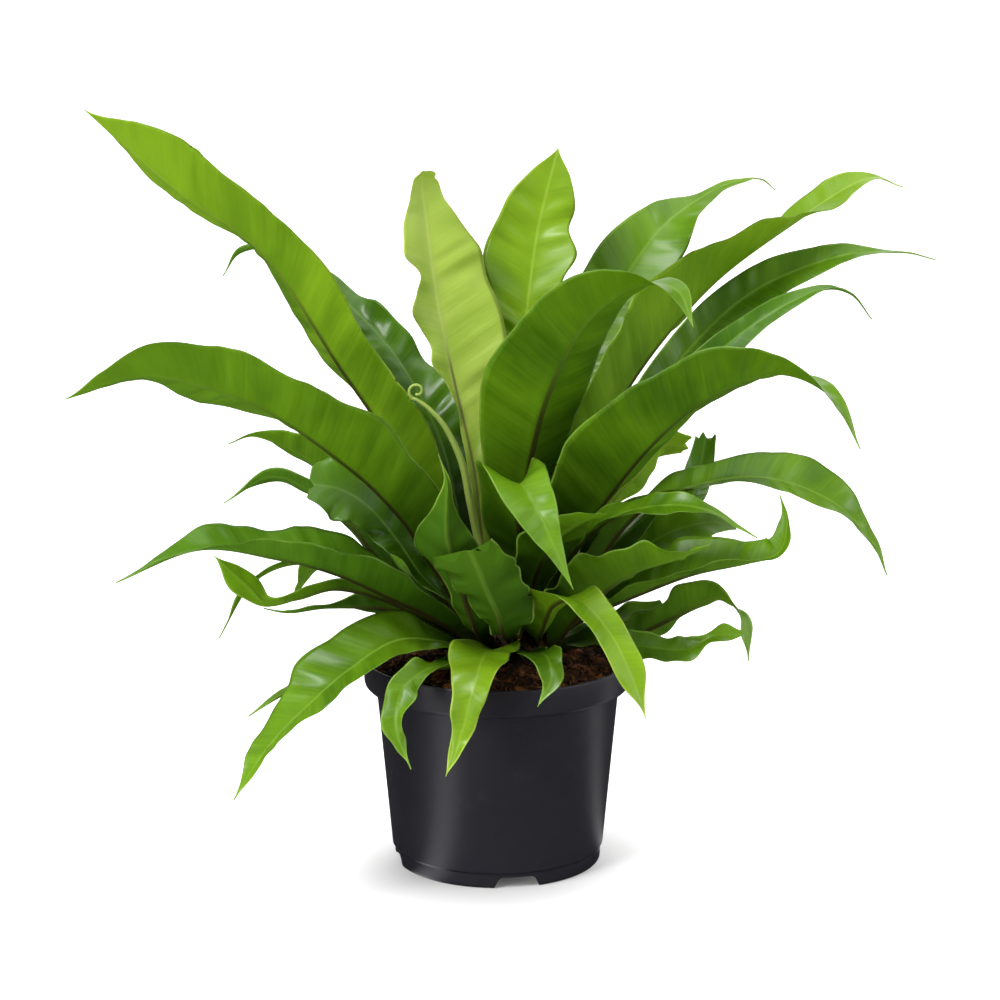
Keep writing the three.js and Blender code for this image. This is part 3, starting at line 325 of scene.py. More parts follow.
FAINT_MIDRIBS = dict(  # how clear the raised line is on the blades where it hardly shows
    front_centre_low=0.1, front_left_collar=0.3, over_rim_front=0.3, over_rim_left=0.4,
    over_rim_small=0.4, front_right_droop=0.3, front_curl_over=0.5, right_lowest=0.4,
    front_right_wavy=0.5, left_glossy_droop=0.6, front_right_trough=0.6,
)


def blade_points(frond, t, side, seed):
    """The middle surface of the blade on a grid of t along it and side, from -1 to 1, across it,
    and the direction up from it, its half width there and the frond's length."""
    middle, across, up, length = midrib_frame(frond, t)
    name, halves = frond["name"], frond["halves"]
    half = np.stack([along(halves[0 if s < 0 else -1], t) for s in side], 1)
    half = np.maximum(TIP, half)
    t, side = t[:, None], side[None, :]
    reach = np.abs(side)
    cup = np.radians(along(frond["cup"], t[:, 0]))[:, None]
    height, count, start, skew = frond["wave"]
    phase = 2 * np.pi * (count * t + start + np.where(side > 0, skew, 0))
    blade = smooth((t - 0.1) / 0.25) * (1 - smooth((t - 0.86) / 0.14))
    drift = 0.9 * np.sin(2 * np.pi * (0.53 * count * t + seed)) * np.sin(2 * np.pi * 1.3 * t + 3 * seed)
    ruffle = height * np.sin(phase) + 0.35 * height * np.sin(2.3 * phase + 5 * seed + drift)
    # The blade swells between its side veins.
    vein = (t * length - VEIN_SLOPE * reach * half) / QUILT_SPACING + seed + 0.37 * (side > 0)
    swell = np.sin(2 * np.pi * vein + 0.8 * np.sin(2.3 * vein))
    swell = swell * (0.55 + 0.45 * np.sin(1.7 * vein + 9 * seed))
    quilt = RIPPLES.get(name, QUILT_HEIGHT) * swell * 4 * reach * (1 - 0.9 * reach)
    rise = ruffle * reach**2 + quilt * np.minimum(1, half / 18)
    lift = half * reach**1.12 * np.sin(cup) + blade * rise
    wander = np.sin(phase * 1.31 + 2) + 0.6 * np.sin(phase * 2.17 + 9 * seed)
    lobes = 1 + blade * LOBES.get(name, LOBE) * wander * reach
    spread = half * side * np.cos(cup) * lobes
    # A blunt end is uneven.
    uneven = BLUNT_ENDS.get(name, 0) * smooth((t - 0.72) / 0.28)
    uneven = uneven * (np.sin(5.5 * side + 9 * seed) + 0.5 * np.sin(11 * side + 4))
    ahead = np.cross(across, up)
    points = middle[:, None] + across[:, None] * spread[..., None] + up[:, None] * lift[..., None]
    return points + ahead[:, None] * uneven[..., None], up, half, length


def in_scene(name, data):
    made = bpy.data.objects.new(name, data)
    bpy.context.scene.collection.objects.link(made)
    return made


def mesh_object(name, bm, *materials):
    mesh = bpy.data.meshes.new(name)
    bm.to_mesh(mesh)
    bm.free()
    for material in materials:
        mesh.materials.append(material)
    return in_scene(name, mesh)


def mesh_piece(name, bm, material, replaced=()):
    """Makes an object of the bmesh, given in metres in the row frame, and hangs it on the plant."""
    piece = mesh_object(name, bm, material)
    for polygon in piece.data.polygons:
        polygon.use_smooth = True
    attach(piece, "root")
    if replaced:
        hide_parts(*replaced)
    return piece


def grid(bm, columns, rows, size=1):
    """Adds a grid of faces from -size to size, and gives its points."""
    return bmesh.ops.create_grid(bm, x_segments=columns, y_segments=rows, size=size)["verts"]


def lay_maps(bm, marks, *names):
    """Makes maps of the names, and gives every corner in each the next two of its point's marks."""
    for k, name in enumerate(names):
        layer = bm.loops.layers.uv.new(name)
        for face in bm.faces:
            for loop in face.loops:
                loop[layer].uv = marks[loop.vert.index][2 * k : 2 * k + 2]


def close_skin(bm, gap=2e-6):
    """Joins points less than gap apart, fills what is still open, and turns all faces outward."""
    bmesh.ops.remove_doubles(bm, verts=bm.verts, dist=gap)
    bmesh.ops.holes_fill(bm, edges=[e for e in bm.edges if e.is_boundary], sides=0)
    bmesh.ops.recalc_face_normals(bm, faces=bm.faces)


ROWS, COLUMNS = 176, 20  # of faces along a frond, and across its blade
KEEL_DEPTH = [2.8, 2.2, 1.7, 1.0, 0.3]  # of the midrib below the blade, from foot to tip
KEEL_WIDTH = [2.2, 1.7, 1.3, 0.9, 0.6]
LINE_HEIGHT = [0.35, 0.35, 0.35, 0.245, 0.105]  # of the midrib above the blade
LINE_WIDTH = 0.9
STALK_SHARE, STALK_DEPTH = 0.22, 1.8  # how much of the length is stalk, and how thick it is


def frond_piece(frond, number):
    """A whole frond: one closed skin, upper side out to the edges and back along the underside."""
    name = frond["name"]
    seed = (number * 0.618) % 1
    t = np.linspace(0, 1, ROWS + 1) ** 0.96
    sides = np.linspace(-1, 1, COLUMNS + 1)
    sides = np.sign(sides) * np.abs(sides) ** 0.9
    surface, up, half, length = blade_points(frond, t, sides, seed)
    # Thickness below the surface: the blade, the keel of the midrib, and the stalk at the foot.
    distance = sides[None, :] * half
    bulge = np.exp(-((distance / along(KEEL_WIDTH, t)[:, None]) ** 2))
    keel = along(KEEL_DEPTH, t)[:, None] * bulge
    stalk = (1 - smooth(t / STALK_SHARE))[:, None] * STALK_DEPTH * (1 - sides[None, :] ** 2)
    inside = 1 - np.abs(sides[None, :]) ** 8
    below = inside * (BLADE + keel + stalk)
    clear = FAINT_MIDRIBS.get(name, 1)
    line = along(LINE_HEIGHT, t)[:, None] * np.exp(-((distance / LINE_WIDTH) ** 2))
    upper = surface + up[:, None] * (clear * inside * line)[..., None]
    lower = surface - up[:, None] * below[..., None]

    bm = bmesh.new()
    grid(bm, 2 * COLUMNS, ROWS)
    bm.verts.ensure_lookup_table()
    under = bm.verts.layers.float.new("underside")
    midrib = bm.verts.layers.float.new("midrib")
    marks = {}
    for vert in bm.verts:
        column = round((vert.co.x + 1) * COLUMNS)
        row = round((vert.co.y + 1) * ROWS / 2)
        top = column <= COLUMNS
        k = column if top else 2 * COLUMNS - column
        vert.co = Vector((upper if top else lower)[row, k]) * MM
        vert[midrib] = clear
        vert[under] = 0.5 if k in (0, COLUMNS) else (0.0 if top else 1.0)
        marks[vert.index] = (distance[row, k] * MM, t[row] * length * MM, sides[k] / 2 + 0.5, t[row])
    lay_maps(bm, marks, "blade", "place")
    close_skin(bm)
    leaf = frond["leaf"]
    return mesh_piece(f"leaf_{name}", bm, LEAVES[leaf], [f"frond_{name}"])


# ---- finishes ----
class Finish:
    """A node material or world being built: short calls that add a node and join its inputs."""

    def __init__(self, name, kind=bpy.data.materials):
        self.material = kind.new(name)
        self.material.use_nodes = True
        tree = self.material.node_tree
        self.nodes, self.links = tree.nodes, tree.links

    def put(self, value, socket):
        if isinstance(value, bpy.types.NodeSocket):
            self.links.new(value, socket)
        else:
            socket.default_value = (*value, 1) if socket.type == "RGBA" else value

    def give(self, name, value):
        """Sets or joins one input of the surface shader."""
        self.put(value, self.nodes["Principled BSDF"].inputs[name])

    def node(self, kind, *values, **settings):
        """Adds a node of the kind, with these settings and these values in its first inputs."""
        node = self.nodes.new(kind)
        for name, setting in settings.items():
            setattr(node, name, setting)
        for value, socket in zip(values, node.inputs):
            self.put(value, socket)
        return node

    def math(self, operation, *values):
        return self.node("ShaderNodeMath", *values, operation=operation).outputs[0]

    def plus(self, first, second):
        return self.math("ADD", first, second)

    def times(self, first, second):
        return self.math("MULTIPLY", first, second)

    def less(self, first, second):
        return self.math("SUBTRACT", first, second)

    def spread(self, value, low, high, to_low=0.0, to_high=1.0):
        """value from low to high becomes to_low to to_high, smoothly and no further."""
        values = value, low, high, to_low, to_high
        node = self.node("ShaderNodeMapRange", *values, interpolation_type="SMOOTHSTEP")
        return node.outputs[0]

    def mix(self, share, first, second):
        node = self.node("ShaderNodeMix", share, data_type="RGBA")
        self.put(first, node.inputs[6])
        self.put(second, node.inputs[7])
        return node.outputs[2]

    def noise(self, place, scale, detail=3.0, roughness=0.5):
        node = self.node("ShaderNodeTexNoise", place)
        for socket, value in zip(("Scale", "Detail", "Roughness"), (scale, detail, roughness)):
            node.inputs[socket].default_value = value
        return node.outputs[0]

    def place(self):
        return self.node("ShaderNodeTexCoord").outputs["Object"]

    def parts(self, vector):
        return self.node("ShaderNodeSeparateXYZ", vector).outputs[:2]

    def map(self, name):
        return self.parts(self.node("ShaderNodeUVMap", uv_map=name).outputs[0])

    def attribute(self, name):
        return self.node("ShaderNodeAttribute", attribute_name=name).outputs["Fac"]

    def vector(self, *parts):
        return self.node("ShaderNodeCombineXYZ", *parts).outputs[0]

    def bump(self, height, distance, strength):
        node = self.node("ShaderNodeBump", strength, distance)
        self.put(height, node.inputs["Height"])
        return node.outputs[0]


FOOT_GREEN = (0.008, 0.028, 0.001)  # the blade darkens to this towards the foot
PAINTED_SHADE_GREEN = (0.004, 0.016, 0.0005)  # and to this painted shade deep among the other fronds
PAINTED_SHADE_MIDDLE, PAINTED_SHADE_FROM, PAINTED_SHADE_TO = (0.0, 0.0, 0.175), 0.045, 0.150  # the middle of the painted shade, and from how far to how far from it the shade fades out, in m
LINE_BROWN = (0.060, 0.022, 0.012)
KEEL_BROWN = (0.030, 0.013, 0.006)
STALK_BROWN = (0.050, 0.036, 0.010)
LINE_FADE = 0.0004, 0.0013  # how far from its middle a line starts and ends to fade, in m
KEEL_FADE = 0.0011, 0.0026


def leaf_finish(name, dark, light, under, rib, gloss, through, shade, brown_line=0.0):
    """Living fern blade: fine side veins, a thin paler midrib above and a brown keel below, gloss
    above and a duller underside, with some light coming through it."""
    f = Finish(name)
    across, run = f.map("blade")
    side, share = f.map("place")
    underside = f.attribute("underside")
    reach = f.math("ABSOLUTE", across)
    half = f.math("GREATER_THAN", across, 0.0)
    vein = f.less(run, f.times(reach, VEIN_SLOPE))
    streaks = f.noise(f.vector(f.times(vein, 520), f.times(reach, 26), half), 1.0, 4, 0.6)
    bands = f.noise(f.vector(f.times(vein, 60), f.times(reach, 14), half), 1.0, 2)
    clouds = f.noise(f.place(), 12, 3)
    tone = f.plus(f.times(streaks, 0.26), f.times(bands, 0.30))
    tone = f.spread(f.plus(tone, f.times(clouds, 0.50)), 0.37, 0.71)
    lower = f.mix(f.times(tone, 0.7), under, light)
    blade = f.mix(underside, f.mix(tone, dark, light), lower)
    # Towards the tip the blade is younger and yellower, and it darkens towards the foot.
    blade = f.mix(f.spread(share, 0.55, 1.0, 0.0, 0.55), blade, light)
    blade = f.mix(f.spread(share, 0.0, 0.42, 0.45, 0.0), blade, f.mix(0.65, under, FOOT_GREEN))
    # Painted shade: deep among the other fronds the blades are darkened, as if shaded by them.
    near = f.node("ShaderNodeVectorMath", f.place(), PAINTED_SHADE_MIDDLE, operation="DISTANCE")
    inner = f.spread(near.outputs["Value"], PAINTED_SHADE_FROM, PAINTED_SHADE_TO, shade, 0.0)
    blade = f.mix(inner, blade, f.mix(0.75, under, PAINTED_SHADE_GREEN))
    # The midrib: a thin paler line above, which is brown at the foot of a young blade.
    brown = f.spread(share, 0.52, 0.67, brown_line, 0.0)
    line = f.times(f.less(1.0, f.spread(reach, *LINE_FADE)), f.less(1.0, underside))
    line = f.times(line, f.plus(f.times(f.attribute("midrib"), 0.42), f.times(brown, 0.5)))
    blade = f.mix(line, blade, f.mix(brown, rib, LINE_BROWN))
    # Below it is dark brown at the foot and fades to green.
    brown = f.spread(share, 0.40, 0.85, 1.0, 0.0)
    keel = f.times(f.less(1.0, f.spread(reach, *KEEL_FADE)), underside)
    keel = f.times(keel, f.plus(f.times(brown, 0.65), 0.22))
    blade = f.mix(keel, blade, f.mix(brown, f.mix(0.5, under, rib), KEEL_BROWN))
    # The stalk at the foot is brown all round.
    blade = f.mix(f.spread(share, 0.03, 0.13, 0.7, 0.0), blade, STALK_BROWN)
    # The edge is a thin pale line, stronger in some places than in others.
    apart = f.math("ABSOLUTE", f.less(f.times(side, 2.0), 1.0))
    inset = f.less(f.math("DIVIDE", reach, f.math("MAXIMUM", apart, 0.05)), reach)
    edge = f.less(1.0, f.spread(inset, *LINE_FADE))
    edge = f.times(edge, f.spread(f.noise(f.place(), 35, 2), 0.38, 0.62, 0.25, 0.85))
    blade = f.mix(f.times(edge, f.spread(share, 0.05, 0.25)), blade, rib)
    f.give("Base Color", blade)
    rough = f.plus(f.times(streaks, 0.14), f.times(underside, 0.20))
    f.give("Roughness", f.plus(rough, gloss - 0.07))
    f.give("Specular IOR Level", f.less(0.38, f.times(underside, 0.31)))
    ridges = f.plus(f.times(streaks, 0.26), f.times(bands, 1.1))
    dents = f.plus(f.noise(f.place(), 85, 2), f.times(f.noise(f.place(), 900, 2), 0.08))
    normal = f.bump(f.plus(ridges, dents), 0.0006, 0.4)
    f.give("Normal", normal)
    glow = f.node("ShaderNodeBsdfTranslucent", f.mix(0.5, blade, light), normal)
    surface = f.nodes["Principled BSDF"].outputs[0]
    both = f.node("ShaderNodeMixShader", through, surface, glow.outputs[0])
    f.put(both.outputs[0], f.nodes["Material Output"].inputs["Surface"])
    return f.material


def pot_finish():
    f = Finish("charcoal moulded plastic")
    place = f.place()
    mottle = f.noise(place, 22, 4)
    dust = f.spread(f.noise(place, 60, 6, 0.7), 0.55, 0.8)
    body = f.mix(mottle, (0.0125, 0.0115, 0.0160), (0.0165, 0.0152, 0.0205))
    f.give("Base Color", f.mix(f.times(dust, 0.06), body, (0.12, 0.115, 0.11)))
    f.give("Specular IOR Level", 0.22)
    f.give("Roughness", f.plus(0.34, f.plus(f.times(mottle, 0.06), f.times(dust, 0.10))))
    grain = f.plus(f.times(f.noise(place, 1500, 2), 0.3), f.noise(place, 90, 2))
    f.give("Normal", f.bump(grain, 0.0002, 0.35))
    return f.material


def soil_finish():
    f = Finish("moist coir mix")
    place = f.place()
    grain = f.noise(place, 420, 6, 0.7)
    patch = f.noise(place, 90, 3)
    dark = f.mix(f.spread(grain, 0.35, 0.7), (0.008, 0.0036, 0.002), (0.085, 0.033, 0.012))
    f.give("Base Color", f.mix(f.spread(patch, 0.50, 0.68), dark, (0.270, 0.098, 0.030)))
    f.give("Specular IOR Level", 0.15)
    f.give("Roughness", f.plus(0.72, f.times(grain, 0.25)))
    f.give("Normal", f.bump(grain, 0.0015, 0.9))
    return f.material


def fibre_finish():
    f = Finish("dry coir fibre")
    place = f.place()
    tone = f.spread(f.noise(place, 70, 3), 0.35, 0.65)
    f.give("Base Color", f.mix(tone, (0.075, 0.028, 0.012), (0.42, 0.185, 0.075)))
    f.give("Roughness", f.plus(0.6, f.times(f.noise(place, 800, 2), 0.3)))
    f.give("Normal", f.bump(f.noise(place, 1600, 2), 0.0003, 0.5))
    return f.material


def scale_finish():
    f = Finish("papery brown scales")
    place = f.place()
    tone = f.noise(place, 130, 4)
    shade = f.spread(tone, 0.35, 0.7)
    f.give("Base Color", f.mix(shade, (0.010, 0.006, 0.003), (0.034, 0.019, 0.008)))
    f.give("Specular IOR Level", 0.1)
    f.give("Roughness", f.plus(0.65, f.times(tone, 0.3)))
    f.give("Normal", f.bump(f.noise(place, 700, 3), 0.0006, 0.7))
    return f.material


def crozier_finish():
    f = Finish("rolled young frond")
    around, run = f.map("place")
    place = f.place()
    tone = f.noise(place, 260, 4)
    stripe = f.spread(f.math("ABSOLUTE", f.less(around, 0.5)), 0.05, 0.20)
    green = f.mix(tone, (0.12, 0.24, 0.018), (0.30, 0.46, 0.06))
    green = f.mix(f.times(stripe, 0.5), (0.42, 0.50, 0.12), green)
    specks = f.spread(f.noise(place, 900, 4, 0.7), 0.60, 0.72)
    specks = f.times(specks, f.spread(run, 0.5, 0.85, 0.15, 0.7))
    f.give("Base Color", f.mix(specks, green, (0.10, 0.045, 0.015)))
    f.give("Roughness", f.plus(0.38, f.times(tone, 0.2)))
    f.give("Normal", f.bump(f.noise(place, 900, 3), 0.0004, 0.6))
    return f.material


# The shade round the foot: where its middle is, and from how far to how far from there, in m, the
# floor goes from which brightness to which.
SHADE_MIDDLE = -0.006, -0.030
FLOOR_GLOW = 0.010, 0.165, 0.05, 1.0
FLOOR_STREAKS = (-134, 17, 3.0), (12, 15, 1.0)  # direction and half width, in degrees, and how bright


def floor_finish():
    """A white studio floor that looks lit from below, so that only soft shade shows on it. Reflections
    see it as a dark table with two soft streaks of light."""
    f = Finish("pale floor")
    place = f.place()
    path = f.node("ShaderNodeLightPath")
    seen, mirrored = path.outputs["Is Camera Ray"], path.outputs["Is Glossy Ray"]
    white = f.mix(f.noise(place, 2, 2), (0.78, 0.78, 0.78), (0.80, 0.80, 0.80))
    white = f.mix(seen, white, (0.50, 0.50, 0.50))
    f.give("Base Color", f.mix(mirrored, white, (0.05, 0.05, 0.055)))
    f.give("Roughness", 0.9)
    f.give("Specular IOR Level", 0.0)
    f.give("Emission Color", (1, 1, 1))
    x, y = f.parts(place)
    squares = [f.math("POWER", f.less(v, middle), 2.0) for v, middle in zip((x, y), SHADE_MIDDLE)]
    glow = f.times(seen, f.spread(f.math("SQRT", f.plus(*squares)), *FLOOR_GLOW))
    turn = f.math("ARCTAN2", y, x)
    for middle, width, power in FLOOR_STREAKS:
        off = f.math("ABSOLUTE", f.less(turn, math.radians(middle)))
        streak = f.spread(off, 0.0, math.radians(width), power, 0.0)
        glow = f.plus(glow, f.times(mirrored, streak))
    f.give("Emission Strength", glow)
    return f.material


# Finishes of the blades: the dark and light tones of the upper side, the underside, the midrib and
# edge line, the roughness, how much light comes through, how much painted shade darkens the blade
# deep among the others, and how brown its midrib is at the foot.
LEAVES = dict(
    mature=leaf_finish(
        "mature blade", (0.045, 0.132, 0.002), (0.155, 0.320, 0.006), (0.040, 0.112, 0.0012),
        (0.24, 0.42, 0.05), 0.34, 0.26, 0.75,
    ),
    deep=leaf_finish(
        "deep green blade", (0.030, 0.098, 0.0025), (0.100, 0.240, 0.008), (0.034, 0.098, 0.002),
        (0.18, 0.34, 0.05), 0.30, 0.22, 0.80,
    ),
    # The dark inner blade is a darker copy of the mature one: painted shade for the blades that sit in
    # shade low by the middle of the plant.
    inner=leaf_finish(
        "dark inner blade", (0.018, 0.055, 0.0006), (0.062, 0.150, 0.0022), (0.034, 0.098, 0.002),
        (0.24, 0.40, 0.05), 0.36, 0.18, 0.70,
    ),
    bright=leaf_finish(
        "bright blade", (0.105, 0.245, 0.003), (0.255, 0.430, 0.012), (0.090, 0.205, 0.002),
        (0.42, 0.58, 0.08), 0.34, 0.28, 0.55,
    ),
    young=leaf_finish(
        "young pale blade", (0.300, 0.465, 0.042), (0.500, 0.640, 0.115), (0.300, 0.460, 0.025),
        (0.60, 0.68, 0.20), 0.34, 0.36, 0.35, 0.9,
    ),
)


# ---- the plastic pot ----
RIM_RADIUS, POT_HEIGHT, RIM_BAND, WALL = 85, 132.5, 18.3, 1.5
WALL_TOP, WALL_BOTTOM = 77.1, 67.4  # outside radius of the wall under the rim and above the foot
FOOT_RADIUS, FOOT_HEIGHT, FOOT_FLAT = 66, 9.5, 3
FLOOR_RISE, HUB_RADIUS, HUB_WALL = 8, 9, 2.5
NOTCHES, NOTCH_TURN, NOTCH_WIDTH, NOTCH_HEIGHT = 4, -79.2, (29, 22), 7.2
NOTCH_INSET, NOTCH_DEPTH, NOTCH_CORNER = 2, 12, 2.5
DRAIN_HOLES, DRAIN_RADIUS, DRAIN_CIRCLE, DRAIN_LENGTH = 8, 4.5, 47, 6
LEDGE = POT_HEIGHT - RIM_BAND
FLOOR_TOP, HUB_INNER = FLOOR_RISE + WALL, HUB_RADIUS - HUB_WALL
POT_STEPS = 160  # of the pot's round
CREASE = 28  # degrees between faces from which an edge is sharp


def from_point(radius, height, *steps):
    """Points given as steps in radius and height from one point."""
    return [(radius + across, height + up) for across, up in steps]


def pot_profile():
    """Radius and height of the pot's section, from the middle of its underside to its floor."""
    foot_inner = FOOT_RADIUS - 0.8 - FOOT_FLAT
    return [
        (0, 0), (HUB_RADIUS - 0.4, 0), (HUB_RADIUS, 0.4), (HUB_RADIUS, FLOOR_RISE),
        (foot_inner + 0.6, FLOOR_RISE), (foot_inner, 0.3), (foot_inner + 0.3, 0),
        *from_point(FOOT_RADIUS, 0, (-1.8, 0), (-0.9, 0.3), (-0.4, 1.0), (-0.2, 2.4)),
        *from_point(FOOT_RADIUS, FOOT_HEIGHT, (0, -0.5), (0.3, 0)),
        *from_point(WALL_BOTTOM, FOOT_HEIGHT, (-0.6, 0.5), (0, 1.3)),
        *from_point(WALL_TOP, LEDGE, (-0.2, -1.6), (0.5, -0.5)),
        *from_point(RIM_RADIUS, LEDGE, (-3.8, -0.1), (-2.2, 0.5), (-0.9, 1.9), (-0.4, 3.6)),
        *from_point(RIM_RADIUS, POT_HEIGHT, (0, -1.3), (-0.06, -0.85), (-0.22, -0.45)),
        *from_point(RIM_RADIUS, POT_HEIGHT, (-0.45, -0.16), (-0.75, 0), (-1.2, -0.1), (-WALL, -0.7)),
        *from_point(RIM_RADIUS, LEDGE, (-1.8, 3.8), (-3.4, 1.8)),
        (WALL_TOP - WALL, LEDGE + 0.9), (WALL_BOTTOM - WALL, FLOOR_TOP + 1.5),
        (WALL_BOTTOM - 2 * WALL, FLOOR_TOP), (HUB_INNER, FLOOR_TOP), (HUB_INNER, WALL), (0, WALL),
    ]


def cut_notch(bm, turn):
    """Adds a block that narrows upward, with rounded upper corners, where the foot is cut."""
    slant = (NOTCH_WIDTH[0] - NOTCH_WIDTH[1]) / NOTCH_HEIGHT
    made = bmesh.ops.create_cube(bm, size=1)["verts"]
    for vert in made:
        high = vert.co.z > 0
        width = NOTCH_WIDTH[1] if high else NOTCH_WIDTH[0] + slant
        x = FOOT_RADIUS - NOTCH_INSET + NOTCH_DEPTH * vert.co.x
        vert.co = Vector((x, width * vert.co.y, NOTCH_HEIGHT if high else -1)) * MM
    corners = []
    for edge in {e for v in made for e in v.link_edges}:
        first, second = (v.co for v in edge.verts)
        if abs(first.x - second.x) > 0.005 and first.z > 0.005:
            corners.append(edge)
    rounded = bmesh.ops.bevel(
        bm, geom=corners, offset=NOTCH_CORNER * MM, offset_type="OFFSET", segments=4, profile=0.5,
        affect="EDGES", material=-1,
    )["verts"]
    verts = [v for v in {*made, *rounded} if v.is_valid]
    bmesh.ops.transform(bm, matrix=Matrix.Rotation(turn, 4, "Z"), verts=verts)


def drainage_cutter():
    """The notches through the foot and the holes through the floor, as one mesh to cut with."""
    bm = bmesh.new()
    for i in range(NOTCHES):
        cut_notch(bm, math.radians(NOTCH_TURN + i * 360 / NOTCHES))
    radius = DRAIN_RADIUS * MM
    for i in range(DRAIN_HOLES):
        turn = math.radians(NOTCH_TURN + (i + 0.5) * 360 / DRAIN_HOLES)
        spot = Vector((*polar(DRAIN_CIRCLE, turn), FLOOR_RISE))
        bmesh.ops.create_cone(
            bm, cap_ends=True, segments=24, radius1=radius, radius2=radius, depth=DRAIN_LENGTH * MM,
            matrix=Matrix.Translation(spot * MM),
        )
    return mesh_object("drainage", bm)


def pot_piece():
    bm = bmesh.new()
    verts = [bm.verts.new(Vector((r, 0, z)) * MM) for r, z in pot_profile()]
    edges = [bm.edges.new(pair) for pair in zip(verts, verts[1:])]
    bmesh.ops.spin(
        bm, geom=verts + edges, cent=(0, 0, 0), axis=(0, 0, 1), angle=2 * math.pi,
        steps=POT_STEPS, use_merge=True,
    )
    close_skin(bm, 1e-6)
    piece = mesh_piece("nursery_pot", bm, pot_finish(), ["pot"])
    cutter = drainage_cutter()
    cut = piece.modifiers.new("drainage", "BOOLEAN")
    cut.operation, cut.solver, cut.object = "DIFFERENCE", "EXACT", cutter
    shape = bpy.data.meshes.new_from_object(piece.evaluated_get(bpy.context.evaluated_depsgraph_get()))
    piece.modifiers.remove(cut)
    piece.data = shape
    bpy.data.objects.remove(cutter)
    shape.set_sharp_from_angle(angle=math.radians(CREASE))
    return piece


# ---- the potting mix ----
SOIL_EDGE, SOIL_MOUND, SOIL_LUMP = 126, 8, 1.1
SOIL_GAP = 0.3  # between the mix and the pot's floor
SOIL_RADIUS = RIM_RADIUS - 2.3
SOIL_RINGS, SOIL_AROUND = 54, 200
OPEN_RING = 34, 81  # where the mix lies open, between the fronds' feet and the rim


def soil_height(x, y):
    radius = math.hypot(x, y)
    mound = SOIL_MOUND * float(smooth((RIM_RADIUS - 5 - radius) / 45))
    lumps = math.sin(0.31 * x + 1.7 * math.sin(0.23 * y)) * math.cos(0.37 * y - 0.9)
    return SOIL_EDGE + mound + SOIL_LUMP * lumps * float(smooth((RIM_RADIUS - 3 - radius) / 8))


def crumble(x, y):
    """The fine unevenness of the mix, in mm."""
    return 1.3 * noise.fractal(Vector((x, y, 0)) * 0.22, 0.9, 2.1, 4)


def soil_piece():
    """The plug of mix: its side against the pot, and a crumbly top."""
    bottom = FLOOR_TOP + SOIL_GAP
    side = [
        (0, WALL + SOIL_GAP), (HUB_INNER - SOIL_GAP, WALL + SOIL_GAP), (HUB_INNER - SOIL_GAP, bottom),
        (WALL_BOTTOM - 2 * WALL - SOIL_GAP, bottom), (WALL_BOTTOM - WALL - 0.6, FLOOR_TOP + 2),
        (WALL_TOP - WALL - 0.6, LEDGE + 1.3), (RIM_RADIUS - 3.9, LEDGE + 2.4),
        (SOIL_RADIUS - 0.1, LEDGE + 4.2),
    ]
    rows = len(side) + SOIL_RINGS
    bm = bmesh.new()
    grid(bm, SOIL_AROUND, rows)
    for vert in bm.verts:
        turn = -math.pi * vert.co.x
        row = round((vert.co.y + 1) * rows / 2)
        if row < len(side):
            radius, z = side[row]
            vert.co = Vector((*polar(radius, turn), z)) * MM
        else:
            radius = SOIL_RADIUS * (1 - (row - len(side)) / SOIL_RINGS)
            x, y = polar(radius, turn)
            rough = crumble(x, y) * min(1, (SOIL_RADIUS - radius) / 2)
            vert.co = Vector((x, y, soil_height(x, y) + rough)) * MM
    close_skin(bm, 1e-6)
    return mesh_piece("potting_mix", bm, soil_finish(), ["potting_soil"])


def soil_places(chance, count):
    """Spots on the open ring of mix."""
    low, high = OPEN_RING
    for _ in range(count):
        radius = math.sqrt(chance.uniform(low**2, high**2))
        x, y = polar(radius, chance.uniform(0, 2 * math.pi))
        yield Vector((x, y, soil_height(x, y) + crumble(x, y)))


CRUMBS, FIBRES, CROWN_SCALES = 1500, 520, 420
FIBRE_REACH = 82  # no fibre goes further from the middle


def crumbs_piece():
    chance = random.Random(4)
    bm = bmesh.new()
    for spot in soil_places(chance, CRUMBS):
        size = chance.uniform(0.5, 1.2) * chance.choice((1, 1, 1, 1.7))
        squash = chance.uniform(0.7, 1.5), 1, chance.uniform(0.5, 0.9)
        scale = Matrix.Diagonal((*(size * share for share in squash), 1))
        angle = chance.uniform(0, 6.3)
        turn = Matrix.Rotation(angle, 4, Vector((chance.uniform(-1, 1), chance.uniform(-1, 1), 1)))
        place = Matrix.Translation(spot * MM) @ Matrix.Scale(MM, 4) @ turn @ scale
        for vert in bmesh.ops.create_icosphere(bm, subdivisions=1, radius=1, matrix=place)["verts"]:
            vert.co += Vector([chance.uniform(-0.13, 0.13) * size * MM for _ in range(3)])
    return mesh_piece("mix_crumbs", bm, soil_finish(), ())


def fibres_piece():
    """Curled coir fibres lying on the mix, each a thin square tube."""
    chance = random.Random(9)
    bm = bmesh.new()
    steps = 5
    for spot in soil_places(chance, FIBRES):
        turn = chance.uniform(0, 2 * math.pi)
        bend = chance.uniform(-0.5, 0.5)
        thick = chance.uniform(0.10, 0.26)
        step = chance.uniform(0.7, 1.9)
        for vert in grid(bm, 4, steps):
            k = round((vert.co.y + 1) * steps / 2)
            ring = vert.co.x * math.pi
            x, y = polar(step * k, turn + bend * k / 2)
            x, y = spot.x + x, spot.y + y
            reach = math.hypot(x, y)
            if reach > FIBRE_REACH:
                x, y = x * FIBRE_REACH / reach, y * FIBRE_REACH / reach
            slim = thick * (0.35 if k in (0, steps) else 1)
            curl = 0.3 + 0.9 * math.sin(k * 1.1 + bend * 7) * (k / steps)
            z = soil_height(x, y) + crumble(x, y) + curl
            aside, rise = polar(slim, ring)
            ahead, left = polar(aside, turn + bend * k)
            vert.co = Vector((x - left, y + ahead, z + rise)) * MM
    close_skin(bm, 1e-7)
    return mesh_piece("coir_fibres", bm, fibre_finish(), ())


